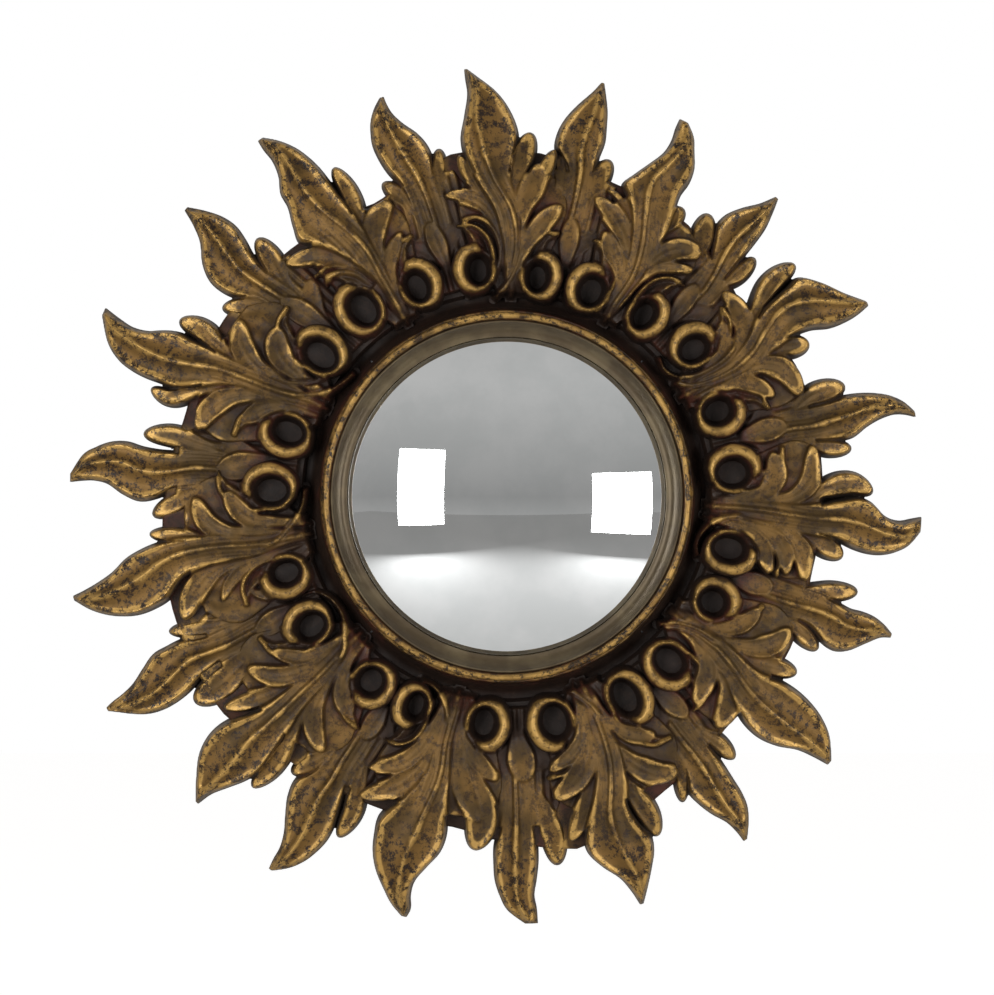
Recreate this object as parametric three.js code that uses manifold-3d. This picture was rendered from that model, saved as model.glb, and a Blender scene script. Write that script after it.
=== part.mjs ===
// A convex butlers mirror: a gilt cast sunburst of acanthus sprays round a domed glass.
// Millimetres. X is right, Z is up, the glass looks along -Y and the flat back lies in the plane Y = 0.
// Inside the file a point is given as a bearing (degrees clockwise from the top), a distance from the
// centre of the glass and a rise (forward of the back plane); place() turns these into X, Y and Z.
import * as THREE from "three";
import { mergeVertices } from "three/addons/utils/BufferGeometryUtils.js";
import Module from "manifold-3d";

const wasm = await Module();
wasm.setup();

// ---- driving sizes -----------------------------------------------------------------------------

const SIGHT_RADIUS = 101; // clear glass inside the bronze ring
const COVE_WIDTH = 10.7; // bronze ring, from the glass to the gold bead
const BEAD_WIDTH = 6; // gold bead with its fillet
const SPRAY_REACH = 172; // from the fillet to the longest leaf tip
const FRONT_RELIEF = 37; // crown of the front sprays
const BACK_RELIEF = 23; // crown of the leaves behind
const HOOD_RELIEF = 29; // crown of the hoods between the sprays
const SCROLL_RELIEF = 37; // rim of the scrolls
const SCROLL_DEPTH = 17; // hollow of a scroll below its rim
const WEB_RELIEF = 16; // web behind the leaves
const GUTTER_WIDTH = 6.5; // dark groove in the web round the bead
const GUTTER_DEPTH = 7;
const GUTTER_SLOPE = 1.5; // how far each side of the groove leans
const BEAD_RELIEF = 32;
const GLASS_CURVE_RADIUS = 240;
const GLASS_THICKNESS = 3;
const GLASS_HELD = 3; // width of glass hidden by the ring
const BOARD_THICKNESS = 3;
const CUSHION_THICKNESS = 4;
const CUSHION_WIDTH = 9;
const BACK_RECESS = 6; // depth of the recess that hides the turn buttons
const RECESS_LEDGE = 16; // width of the ledge that carries them
const FLANGE_WIDTH = 2; // rear flange of the bronze ring, behind the bead
const FLANGE_THICKNESS = 3.5;
const RING_LIP = 1.6; // thickness of the bronze ring over the glass
const RING_BELOW_BEAD = 3; // the ring's outer edge below the crown of the bead
const GROUND_WIDTH = 6; // slope from the fillet down to the web
const SKIRT = 2.4; // how far a leaf's edge slopes in on its way up
const DISH = 3; // how far a leaf's face lies below its rim
const LOBE_SET_BACK = 5; // a lobe's crown below its blade's
const LOBE_LAYER = 1.3; // how much each lobe stands over the one behind it
const LOBE_DROOP = 5; // fall of a lobe towards its end
const BUTTON_LENGTH = 26;
const BUTTON_WIDTH = 9;
const BUTTON_THICKNESS = 1.6;
const BUTTON_INSET = 7; // from the edge of the rebate out to a button's screw
const BUTTON_HEEL = 3; // from the screw back to the centre of the button's heel
const SCREW_RADIUS = 1.5;
const SCREW_LENGTH = 11;
const SCREW_HEAD_RADIUS = 3.2;
const SCREW_HEAD_HEIGHT = 1.8;
const PLATE_LENGTH = 50; // keyhole hanger
const PLATE_WIDTH = 20;
const PLATE_THICKNESS = 1.6;
const SLOT_DISTANCE = 166; // from the centre of the glass up to the seat of the hanger's slot
const PLATE_SCREW_SPACING = 38;
const POCKET_DEPTH = 10; // room for the head of the wall screw
const POCKET_MARGIN = 1.5;
const KEYHOLE_HEAD_RADIUS = 5;
const KEYHOLE_SLOT_RADIUS = 2.4;
const KEYHOLE_DROP = 9; // from the slot's seat down to the round entry
const BUMPER_RADIUS = 7;
const BUMPER_THICKNESS = 2.5;
const BUMPER_DISTANCE = 168;
const BUMPER_BEARING = 147;
const FIT = 0.3; // gap round anything that sits in the casting

const ROUND_STEPS = 48; // sides of every turned piece
const SMALL_STEPS = 10; // sides of screws and bores
const SCROLL_STEPS = 10;
const LOBE_STATIONS = [0, 0.6, 0.94]; // shares of a lobe's length
const LOBE_WIDEST = 0.6;
const LOBE_ROOT = 0.55; // width of a lobe at its root, as a share of its widest
const RIM_SHARE = 0.3; // least share of a leaf's half width that its face keeps inside its skirts
const SCROLL_FLOOR_SHARE = 0.78; // these three are shares of a scroll's half width
const SCROLL_RIM_SHARE = 1.2;
const SCROLL_FOOT_SHARE = 1.45;
const SCROLL_PLAY = 0.02; // by which the bore of a scroll is wider than its wall
const BEAD_SECTION = [[0, 3.5], [0.15, 1], [0.45, 0], [0.75, 1.6], [1, 2.2]]; // share across, mm down
const GROUND_STEP = [0.15, 9]; // the fillet drops steeply over this share of the slope, in mm down
const COVE_SECTION = [[0.1, 0], [0.4, 0.12], [0.7, 0.42], [0.9, 0.8]]; // share across, share of the rise
const SWELL = { from: 130, to: 175, least: 0.8 }; // where a leaf bows out: measured distances, share
const CURL = { from: 195, to: 290, fall: 0.58 }; // where its tip curls back, and the share that it falls
const CUT_START = 1; // how far a cut starts outside what it cuts
const FOOT = -2; // where the leaves start, before the back is cut flat
const BUTTON_BEARINGS = [45, 135, 225, 315];
const SIDES = { left: -1, right: 1 };

// ---- what follows from them --------------------------------------------------------------------

const OPENING_RADIUS = SIGHT_RADIUS + COVE_WIDTH + FIT;
const FILLET_RADIUS = OPENING_RADIUS + BEAD_WIDTH;
const REBATE_RADIUS = OPENING_RADIUS + FLANGE_WIDTH + FIT;
const RECESS_RADIUS = REBATE_RADIUS + RECESS_LEDGE;
const BOARD_BACK = BACK_RECESS + FIT;
const CUSHION_BACK = BOARD_BACK + BOARD_THICKNESS + FIT;
const GLASS_BACK = CUSHION_BACK + CUSHION_THICKNESS + FIT;
const GLASS_RADIUS = SIGHT_RADIUS + GLASS_HELD;
const RING_SEAT = GLASS_BACK + GLASS_THICKNESS + glassRise(SIGHT_RADIUS) + FIT;
const BUTTON_BACK = BACK_RECESS - FIT - BUTTON_THICKNESS;
const PLATE_BACK = SCREW_HEAD_HEIGHT + FIT;
const PLATE_FRONT = PLATE_BACK + PLATE_THICKNESS;
const PLATE_MIDDLE = -(KEYHOLE_DROP + KEYHOLE_HEAD_RADIUS) / 2; // below the slot's seat
const SCROLL_FLOOR = SCROLL_RELIEF - SCROLL_DEPTH;

// How far the glass's front stands over its own edge, at a distance from its centre.
function glassRise(distance) {
  const edge = Math.sqrt(GLASS_CURVE_RADIUS ** 2 - GLASS_RADIUS ** 2);
  return Math.sqrt(GLASS_CURVE_RADIUS ** 2 - distance ** 2) - edge;
}

// The sprays below were measured on a mirror with these two sizes; other sizes spread them.
const MEASURED_FILLET = 118;
const MEASURED_REACH = 172;

// ---- the sprays, read from the mirror ----------------------------------------------------------
// A blade is a list of [distance, left bearing, right bearing, bearing of the rib].
// A lobe is [half width, bearing, distance, bearing, distance, ...] from its root to its end.
// A scroll is [bearing, distance, half width, half height] of its hollow.

const FRONT_SPRAYS = [
  {
    blade: [
      [140, -0.5, 2.8, 1.5], [180, -2.5, 2.8, 1.2], [200, -5.5, 1, -2], [215, -7, 1.6, -3.5],
      [230, -7.4, 2, -4.3], [245, -6.4, 0.8, -4.6], [260, -5.6, -1.6, -4.4], [270, -5.7, -4.1, -4.9],
      [275, -5.7, -5.3, -5.5],
    ],
    lobes: [
      [5.5, -4.5, 190, -6.8, 205, -8, 221], [6.5, -1.5, 170, -5, 186, -9, 193.5, -12.3, 195],
      [8.5, 0.5, 190, 1.8, 205, 2.8, 218, 3.9, 233.5], [6.5, 3, 180, 4.8, 195, 6.8, 210, 8, 224],
      [9, 2.5, 172, 3.8, 188, 5.2, 201, 5.6, 214], [7.5, 3.3, 150, 5.2, 163, 7.8, 176, 10.8, 188],
    ],
    scrolls: [[-7.2, 145, 9.5, 11.7], [8, 140.5, 9.4, 11.6]],
  },
  {
    blade: [
      [140, 27.4, 30.8, 29.3], [180, 25.8, 31.8, 28.3], [200, 22.8, 31.2, 26], [212, 20.2, 30.6, 25],
      [222, 21.6, 30.1, 24.8], [232, 23.2, 30.3, 25.8], [242, 24.5, 29.8, 26.6], [252, 24.8, 28.5, 26.9],
      [260, 24.6, 27.4, 26.2], [266, 24.6, 25.9, 25.2],
    ],
    lobes: [
      [7.5, 29.2, 188, 30.4, 202, 31.6, 216.5], [4.5, 26, 184, 23, 196, 20.3, 203, 17.8, 205.5],
      [8, 27.8, 168, 24, 182, 20, 192, 15.9, 199], [6.5, 28, 152, 25.5, 162, 22.5, 171, 20.1, 180],
      [8, 31.2, 165, 32.5, 180, 35, 191, 39.3, 198.5], [4.5, 31.8, 160, 33.5, 172, 36.5, 180, 39.8, 186],
    ],
    scrolls: [[22.3, 141, 10.6, 12.2], [37, 144.5, 9.3, 12]],
  },
  {
    blade: [
      [145, 58.6, 62, 60.6], [180, 56.8, 62, 59.6], [195, 54, 61.5, 57.2], [210, 53.2, 61, 55.8],
      [222, 53, 61.4, 56.3], [233, 53, 62.5, 57.8], [243, 55.6, 62.8, 59.4], [252, 58.8, 62.7, 60.9],
      [262, 61.5, 62.2, 61.8],
    ],
    lobes: [
      [8, 54.5, 188, 52.3, 203, 51, 219, 51.2, 237], [8, 60.5, 188, 61.8, 201, 63.3, 217],
      [8, 58.6, 168, 56, 181, 51.5, 189, 46, 189], [4.5, 57.3, 150, 56.2, 163, 54, 171.5, 50.8, 177],
      [8.5, 61.8, 168, 63, 183, 66, 194, 71.3, 198.5],
      [6.5, 62.9, 150, 63.8, 162, 65.8, 172, 69.6, 181.5],
    ],
    scrolls: [[51.7, 151, 10.2, 12], [68, 144.5, 10.6, 12]],
  },
  {
    blade: [
      [145, 90.6, 94.6, 92.8], [180, 91.4, 97, 93.6], [197, 91, 97.5, 94], [212, 90.3, 97.8, 93.9],
      [225, 90, 98.8, 94.4], [233, 90.8, 99.1, 95], [243, 93, 98.9, 95.6], [252, 93.5, 98.1, 95.8],
      [260, 93.1, 96.8, 95.2], [266, 92.8, 94.9, 93.8],
    ],
    lobes: [
      [8.5, 91, 186, 88.6, 203, 87.8, 219, 89.4, 234.5], [8, 96.5, 186, 98.3, 201, 100.3, 218.5],
      [7.5, 91.3, 166, 90, 182, 87, 192.5, 80.3, 197], [8, 90.4, 150, 89, 163, 85.5, 171, 80.2, 171],
      [7.5, 96.3, 165, 98, 180, 101, 191, 106.3, 197.5],
      [6.5, 96.8, 156, 98.7, 171, 101.5, 179.5, 105.8, 184],
      [6.5, 97.2, 145, 99, 158, 102, 166, 107, 173.5],
    ],
    scrolls: [[83.9, 144.3, 11.6, 13], [103.2, 145, 10.8, 13.2]],
  },
  {
    blade: [
      [145, 122.8, 127.3, 125.4], [178, 124, 130, 127], [195, 124.6, 132.5, 128.6],
      [208, 123.8, 133.8, 129.2], [222, 123.6, 133.9, 129.2], [235, 124.1, 132.8, 129.1],
      [247, 125.1, 131.1, 129], [257, 126.5, 130.4, 129], [268, 129.1, 129.9, 129.5],
    ],
    lobes: [
      [7.5, 125, 178, 123, 196, 121.3, 217.5], [8, 123.5, 168, 121.3, 184, 118.5, 194, 114.8, 199],
      [6.5, 122.6, 150, 121, 162, 118.3, 170, 113.6, 176.5],
      [9, 128.6, 170, 130.5, 185, 133.5, 194, 138.2, 199],
      [7.5, 127.6, 150, 129.5, 163, 132.5, 171, 138, 178],
    ],
    scrolls: [[117.1, 147, 11, 11.5], [135.4, 147, 11.3, 13.3]],
  },
  {
    blade: [
      [140, 156.6, 159.8, 158], [180, 155.9, 162, 158.8], [197, 157, 164, 160.5],
      [210, 158.2, 166, 161.9], [222, 157.8, 167.3, 162.2], [234, 156.8, 167.2, 162],
      [245, 157.3, 165.5, 161.5], [255, 158.6, 163.5, 161.1], [265, 160, 162.5, 161.1],
      [275, 161.4, 161.9, 161.6],
    ],
    lobes: [
      [8.5, 159, 188, 157, 204, 156, 221, 156, 238], [8.5, 160.8, 172, 163, 191, 166, 206, 169.8, 224],
      [9, 157, 172, 154.3, 189, 151.5, 200, 147.5, 206],
      [6.5, 155.8, 153, 153.5, 166, 151, 173.5, 147.8, 178.5],
      [8.5, 160.6, 155, 162.5, 172, 166, 184, 171.5, 195],
      [6, 161.6, 145, 163.3, 160, 166.5, 169, 171.5, 176],
    ],
    scrolls: [[149.4, 148, 10.7, 14.5], [168, 146, 11.6, 13.8]],
  },
  {
    blade: [
      [140, 192, 195.2, 193.8], [180, 191.3, 196.5, 193.4], [195, 190.8, 198.3, 193.9],
      [208, 190.4, 200.5, 194.6], [220, 190, 201.9, 195], [232, 190.6, 201.5, 195.6],
      [243, 192.2, 200.7, 195.8], [253, 193.4, 199.4, 195.6], [263, 193.5, 197.5, 195.1],
      [272, 193.1, 195.6, 194.2], [277, 193.4, 194.1, 193.8],
    ],
    lobes: [
      [12, 189.5, 168, 186.5, 186, 184.5, 204, 185.2, 227.5],
      [8, 191, 160, 189.3, 180, 187, 196, 184.6, 208],
      [6.5, 189.9, 148, 187.5, 164, 185, 172, 181.8, 180.5],
      [8.5, 196.3, 160, 198, 182, 201.3, 198, 206.6, 213],
      [7, 197.4, 148, 199, 168, 202, 182, 207.4, 194],
    ],
    scrolls: [[185.7, 144.5, 10.3, 12.5], [203.5, 144.7, 8.9, 11]],
  },
  {
    blade: [
      [140, 225.3, 228.8, 227], [180, 223.8, 228.8, 226.4], [197, 223, 229.2, 226.3],
      [212, 222.2, 230, 226.4], [225, 221.8, 231.2, 226.5], [237, 221.8, 231.6, 226],
      [248, 222.6, 231.1, 225.7], [258, 223.7, 229.9, 225.7], [268, 224.7, 227.9, 225.7],
      [279, 225.1, 225.6, 225.3],
    ],
    lobes: [
      [7.5, 223.4, 193, 221.6, 209, 220.9, 227, 221.2, 247.5],
      [7.5, 228.8, 172, 229.8, 192, 231.4, 208, 233.3, 226],
      [7.5, 224.2, 163, 222, 182, 219.5, 192, 215.6, 200.5],
      [7, 223.6, 146, 221, 159, 218.5, 166, 214.9, 172.5],
      [7.5, 229, 155, 230, 173, 232.3, 186, 236.6, 197.5],
      [6, 230, 146, 231, 160, 233, 168.5, 236.8, 179],
    ],
    scrolls: [[216.3, 145.5, 11, 11.6], [236.5, 149, 10.7, 12.4]],
  },
  {
    blade: [
      [140, 257.5, 261, 259.3], [180, 256.6, 262.3, 260], [197, 256.6, 262.8, 260.3],
      [212, 255.5, 263, 260], [225, 253, 262.6, 259], [237, 252.2, 261.8, 257.6],
      [247, 252.1, 260.8, 256.9], [257, 252.6, 259.2, 256.4], [267, 253.5, 258.2, 256.2],
      [277, 254.9, 257.5, 256.3], [285, 256.5, 257.1, 256.8],
    ],
    lobes: [
      [9.5, 257.2, 172, 255.8, 193, 253, 208, 248.8, 221], [6, 261.3, 188, 262.9, 204, 264, 230],
      [4.8, 256.2, 150, 255, 168, 253, 182, 249.8, 192.5], [4, 246.8, 152, 247.3, 163, 249.8, 174],
      [7.5, 261.9, 163, 262.8, 179, 265, 190.5, 270, 198.5],
      [7.5, 263.8, 146, 264.5, 160, 266.8, 169, 271.2, 179],
    ],
    scrolls: [[250.9, 148.3, 10.3, 12], [271.5, 149.5, 11.5, 13.5]],
  },
  {
    blade: [
      [140, 294.3, 297.5, 296], [180, 292.3, 296.6, 294.3], [197, 290.8, 296.8, 294],
      [210, 288.8, 297, 293.2], [222, 287.8, 296.8, 292.4], [233, 288, 296.8, 292],
      [243, 288.1, 296, 292], [253, 288.5, 294.8, 292.3], [263, 289.3, 294.4, 292.7],
      [273, 290.9, 294.7, 293.2], [284, 294.1, 295.2, 294.7],
    ],
    lobes: [
      [6.5, 290.5, 198, 288, 212, 286.4, 224, 286.9, 238],
      [8, 296.3, 193, 297.8, 208, 298.7, 221, 298.3, 238],
      [8.5, 292.2, 170, 289.8, 186, 286.5, 196, 281.8, 202],
      [6.5, 292.1, 148, 290.6, 161, 288.3, 168.5, 285.3, 175],
      [8.5, 296.9, 162, 297.7, 181, 299.7, 193, 303.6, 204],
      [9, 300, 148, 301, 163, 303, 173, 306.8, 181],
    ],
    scrolls: [[286.5, 144.6, 10.7, 13], [307.3, 148.5, 11.4, 14]],
  },
  {
    blade: [
      [140, 328.8, 331.5, 330.3], [180, 326, 332, 330.4], [195, 323.5, 332, 329.3],
      [208, 320.6, 331.8, 328], [220, 321.5, 331.2, 327], [232, 322.8, 330.8, 326.6],
      [242, 323.2, 330.4, 326.6], [251, 324.4, 329.8, 326.7], [262, 325, 328.7, 326.6],
      [272, 324.9, 327.1, 326], [278, 325, 325.8, 325.3],
    ],
    lobes: [
      [7, 331.2, 188, 332.4, 204, 332.6, 219, 332.2, 238],
      [8, 327.9, 168, 325, 184, 321.5, 195, 316, 204.5],
      [8.5, 331.6, 168, 333, 184, 335, 194, 338.8, 203],
      [5.5, 331.8, 148, 333, 162, 335, 171, 338.4, 181],
    ],
    scrolls: [[322.6, 150, 11.4, 14], [336.9, 144.8, 9.8, 12.3]],
  },
];

const BACK_LEAVES = [
  {
    blade: [
      [182, 11, 16, 13], [200, 10.8, 15.8, 13], [212, 10, 15.6, 12.8], [225, 7.8, 15.4, 12.2],
      [235, 7.9, 15.6, 12.3], [245, 8.8, 15.2, 12.7], [255, 10.3, 14.7, 12.9], [265, 12, 13.9, 13],
      [272, 12.9, 13.3, 13.1],
    ],
    lobes: [[7.5, 14.8, 193, 16, 208, 17.1, 225.5], [5.5, 10.9, 193, 9.8, 207, 8.5, 222]],
    hood: [9, 14.3, 138, 14.2, 160, 13.3, 183],
  },
  {
    blade: [
      [183, 41.2, 46, 43.8], [195, 40.6, 45.6, 43], [207, 39, 45.2, 42], [218, 37.6, 44.8, 41.6],
      [228, 37.8, 44.5, 41.8], [238, 39.1, 44.1, 42.1], [248, 40.8, 43.3, 42.2], [258, 41.9, 42.4, 42.2],
    ],
    lobes: [[8.5, 39.8, 188, 37.6, 203, 35.4, 222.5], [6.5, 45.2, 186, 46.2, 202, 46.2, 220.5]],
    hood: [9, 43.6, 138, 42.8, 160, 41.9, 182],
  },
  {
    blade: [
      [186, 73, 79.6, 76.6], [200, 73, 80.3, 77], [213, 73.2, 80.6, 76.8], [225, 73.2, 80.4, 76.6],
      [235, 73.6, 79.1, 76.3], [245, 74.3, 78.3, 76.4], [255, 75.4, 78.1, 76.9], [262, 76.7, 78.5, 77.7],
      [267, 78.2, 79, 78.7],
    ],
    lobes: [[8.5, 73.8, 188, 71.8, 204, 71.9, 228], [6.5, 79.4, 190, 81.2, 205, 82.1, 223]],
    hood: [11, 75.5, 142, 76, 162, 75.6, 184.5],
  },
  {
    blade: [
      [184, 107.5, 113.5, 110.8], [198, 106.9, 113.5, 110.5], [210, 106.8, 113.6, 110.2],
      [222, 107.5, 115, 110.3], [232, 108, 115.3, 110.8], [240, 107.9, 114.3, 110.6],
      [248, 108.1, 112.4, 110.1], [256, 108.8, 110.7, 109.9], [262, 109.6, 110.2, 109.9],
    ],
    lobes: [[7, 107.6, 193, 106.7, 210, 105.2, 233], [7, 112.8, 188, 114.5, 204, 116.3, 222]],
    hood: [10.5, 109.8, 140, 110, 160, 109, 180],
  },
  {
    blade: [
      [185, 140.8, 147.5, 144.4], [198, 140.6, 147.2, 144.2], [210, 140.6, 147.6, 144.1],
      [222, 140.9, 148.6, 144.3], [232, 141.2, 148.1, 144.5], [242, 141.5, 147.2, 144.6],
      [252, 142.2, 146, 144.5], [260, 143.4, 145.6, 144.7], [268, 144.9, 145.5, 145.2],
    ],
    lobes: [[6.5, 141.2, 188, 139.5, 204, 139, 222.5], [5.5, 146, 190, 147.6, 207, 150.1, 226]],
    hood: [10, 142.6, 138, 142.3, 160, 140.6, 182],
  },
  {
    blade: [
      [184, 175.2, 180.8, 178.3], [198, 175, 181, 178.3], [212, 174.8, 181.6, 178.4],
      [225, 174.8, 182.2, 178.6], [235, 175, 182.1, 178.7], [246, 175.5, 181.8, 178.7],
      [256, 176, 181, 178.5], [265, 175.8, 179.9, 177.8], [274, 175.8, 177.5, 176.6],
    ],
    lobes: [[9, 174.8, 186, 173.3, 202, 172.2, 219, 172.1, 238.5], [5, 181, 190, 182, 205, 182.5, 220]],
    hood: [12.5, 177.5, 138, 177.8, 160, 176.3, 182.5],
  },
  {
    blade: [
      [184, 208.6, 215, 211.8], [198, 208.6, 214.8, 211.9], [212, 208.5, 215.5, 211.7],
      [225, 208, 216.9, 211.9], [237, 207.5, 216.3, 211.6], [248, 207.5, 214.9, 211.2],
      [258, 208.1, 213.6, 211.2], [268, 209.1, 212.9, 211.4], [276, 210.4, 212.8, 211.8],
      [283, 212.1, 212.6, 212.4],
    ],
    lobes: [
      [7.5, 208.2, 188, 207.3, 206, 206, 224, 206.3, 243.5], [7, 214.2, 193, 215.8, 207, 217.9, 224.5],
    ],
    hood: [9.5, 210, 140, 210.8, 160, 210.5, 180],
  },
  {
    blade: [
      [186, 239.8, 245, 242], [200, 239.8, 245.2, 241.9], [213, 239.6, 245.6, 242.3],
      [226, 239.2, 246.4, 242.7], [238, 238.3, 246.3, 242], [248, 238, 246, 241.3],
      [258, 238.1, 244.7, 240.9], [268, 238.7, 243.4, 240.9], [277, 239.8, 242.8, 241.1],
      [285, 241, 242.5, 241.6], [290, 241.7, 242.2, 241.9],
    ],
    lobes: [
      [11, 239.2, 184, 237.6, 200, 236.7, 216, 236.6, 239.5],
      [6.5, 245.2, 182, 245.8, 199, 246.9, 215, 248.2, 233],
    ],
    hood: [11, 242.3, 140, 242.3, 160, 241.3, 182],
  },
  {
    blade: [
      [188, 272.6, 278.4, 275.4], [200, 271.8, 278.2, 275.2], [212, 271, 278, 274.4],
      [224, 269.6, 277.8, 274], [235, 269.2, 277.9, 274.2], [246, 270.3, 278.3, 275.1],
      [256, 271.8, 277.9, 275], [265, 272.2, 276.9, 274.6], [273, 272.1, 275.6, 273.8],
      [280, 271.9, 273, 272.4],
    ],
    lobes: [[7.5, 272.4, 188, 270, 203, 266.9, 227], [8, 279.1, 183, 279.6, 200, 280.3, 216, 279.8, 236]],
    hood: [12.5, 279.5, 140, 278.3, 160, 275, 186],
  },
  {
    blade: [
      [188, 309.2, 314.5, 311.5], [200, 308.4, 313.8, 311], [212, 306.4, 313.6, 310.6],
      [224, 305.6, 313.8, 310.5], [235, 305.9, 314.6, 311], [245, 307.3, 315, 311.5],
      [255, 309.6, 314.6, 311.9], [265, 310.8, 313.6, 312.1], [276, 311.6, 312.2, 311.9],
    ],
    lobes: [[7, 309.3, 184, 307.2, 200, 303.5, 218.5], [8.5, 313.6, 183, 314, 199, 315.2, 213, 316, 230]],
    hood: [11, 313.4, 140, 313.2, 162, 311, 191],
  },
  {
    blade: [
      [182, 342, 348, 345.4], [200, 341.5, 347.8, 345], [212, 340.6, 347.8, 344.4],
      [222, 339.6, 347.8, 343.6], [232, 339.1, 347.2, 343], [240, 339, 346.1, 342.6],
      [248, 339.4, 344.5, 342.3], [256, 340.1, 343.4, 342.1], [263, 341.2, 343, 342.2],
      [268, 342.3, 342.9, 342.6],
    ],
    lobes: [[6.5, 341.6, 186, 341, 200, 338.4, 216], [6, 346.8, 193, 348, 208, 349, 227]],
    hood: [9, 345.8, 138, 345.4, 160, 344, 182],
  },
];

// The web behind the leaves, as [bearing, distance] of its edge where it shows between two leaves.
const WEB_NOTCHES = [
  [5.6, 220], [19.2, 211], [33, 209], [48.8, 195], [66.5, 203], [84, 202], [104, 200.5], [119, 205.5],
  [136, 203], [152.4, 213.5], [168.4, 229.5], [188.6, 213.5], [203, 215], [218.8, 218], [233, 228],
  [251.5, 225], [265.3, 220.5], [284, 211.5], [301.2, 213], [319, 209.5], [336.5, 205], [351, 221.5],
];

// ---- geometry helpers --------------------------------------------------------------------------

const clamp01 = (x) => Math.min(1, Math.max(0, x));
const mix = (a, b, t) => a + (b - a) * t;
const degrees = (length, distance) => (length / distance) * (180 / Math.PI);

// A measured distance, spread with the size of the bead and the reach of the sprays.
function spread(distance) {
  return FILLET_RADIUS + ((distance - MEASURED_FILLET) * SPRAY_REACH) / MEASURED_REACH;
}

// A point from its bearing, distance and rise; the origin is the seat of the hanger's slot.
function place(bearing, distance, rise) {
  const a = (bearing * Math.PI) / 180;
  return [distance * Math.sin(a), -rise, distance * Math.cos(a) - SLOT_DISTANCE];
}

const GLASS_CENTRE = place(0, 0, 0);

// A closed geometry as a solid that faces outwards.
function solidOf(geometry) {
  geometry.deleteAttribute("normal");
  geometry.deleteAttribute("uv");
  const merged = mergeVertices(geometry, 1e-4);
  const corners = [...merged.index.array];
  const triangles = [];
  for (let i = 0; i < corners.length; i += 3) {
    const [a, b, c] = corners.slice(i, i + 3);
    if (a !== b && b !== c && c !== a) triangles.push(a, b, c);
  }
  const solid = (order) => {
    const vertProperties = merged.attributes.position.array;
    const triVerts = new Uint32Array(order);
    return new wasm.Manifold(new wasm.Mesh({ numProp: 3, vertProperties, triVerts }));
  };
  const made = solid(triangles);
  return made.volume() > 0 ? made : solid(triangles.reverse());
}

// A closed solid from rings of points: the same number in each, capped at both ends.
function loft(rings) {
  const count = rings[0].length;
  const index = [];
  for (let i = 0; i + 1 < rings.length; i++) {
    for (let j = 0; j < count; j++) {
      const a = i * count + j;
      const b = i * count + ((j + 1) % count);
      index.push(a, b, a + count, b, b + count, a + count);
    }
  }
  const last = (rings.length - 1) * count;
  for (let j = 1; j + 1 < count; j++) {
    index.push(0, j + 1, j, last, last + j, last + j + 1);
  }
  const geometry = new THREE.BufferGeometry();
  geometry.setAttribute("position", new THREE.Float32BufferAttribute(rings.flat(2), 3));
  geometry.setIndex(index);
  return solidOf(geometry);
}

// A form turned round an axis along Y through the origin, from a profile of [radius, rise] points.
function lathe(profile, steps) {
  const outline = profile.map(([radius, rise]) => new THREE.Vector2(radius, -rise));
  return new THREE.LatheGeometry(outline, steps);
}

// A solid turned round an axis along Y, from a profile that starts and ends on the axis or comes back
// to its first point.
function turned(profile, centre = GLASS_CENTRE, steps = ROUND_STEPS) {
  const geometry = lathe(profile, steps);
  geometry.translate(...centre);
  return solidOf(geometry);
}

// A plain disc or plug between two rises.
function disc(radius, back, front, centre = GLASS_CENTRE, steps = ROUND_STEPS) {
  return turned([[0, back], [radius, back], [radius, front], [0, front]], centre, steps);
}

// The bore for a screw, from behind.
function screwBore(centre, depth) {
  return disc(SCREW_RADIUS + FIT, -CUT_START, depth, centre, SMALL_STEPS);
}

// A flat shape, drawn in X and Z, between two rises.
function slab(shape, back, front) {
  const geometry = new THREE.ExtrudeGeometry(shape, {
    depth: front - back,
    bevelEnabled: false,
    curveSegments: SMALL_STEPS / 2,
  });
  geometry.rotateX(Math.PI / 2);
  geometry.translate(0, -back, 0);
  return solidOf(geometry);
}

// Joins solids in pairs, which keeps each step small.
function joined(solids) {
  let parts = solids;
  while (parts.length > 1) {
    const next = [];
    for (let i = 0; i < parts.length; i += 2) {
      next.push(i + 1 < parts.length ? parts[i].add(parts[i + 1]) : parts[i]);
    }
    parts = next;
  }
  return parts[0];
}

// ---- leaves, lobes, hoods and scrolls ----------------------------------------------------------

// The crown of a leaf at a measured distance, as a share of its relief: it bows out and then back.
function bow(distance) {
  const out = clamp01((distance - SWELL.from) / (SWELL.to - SWELL.from));
  const down = clamp01((distance - CURL.from) / (CURL.to - CURL.from));
  return mix(SWELL.least, 1, out) * (1 - CURL.fall * down * down);
}

// A blade: a rib between two sloping halves, with edges that slope down to the back.
function blade(rows, relief) {
  return loft(
    rows.map(([measured, left, right, rib]) => {
      const distance = spread(measured);
      const crown = relief * bow(measured);
      const inset = Math.min(degrees(SKIRT, distance), (right - left) * RIM_SHARE);
      return [
        place(left, distance, FOOT),
        place(left + inset, distance, crown - DISH / 2),
        place(rib, distance, crown),
        place(right - inset, distance, crown - DISH / 2),
        place(right, distance, FOOT),
      ];
    }),
  );
}

// A hand-read line as a smooth curve in the plane of the back.
function spine(numbers) {
  const points = [];
  for (let i = 0; i < numbers.length; i += 2) {
    points.push(new THREE.Vector3(...place(numbers[i], spread(numbers[i + 1]), 0)));
  }
  return new THREE.CatmullRomCurve3(points, false, "centripetal");
}

// A point beside a curve at a share of its length, at a rise.
function beside(curve, share, offset, rise) {
  const middle = curve.getPointAt(share);
  const along = curve.getTangentAt(share);
  return [middle.x + along.z * offset, -rise, middle.z - along.x * offset];
}

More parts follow.
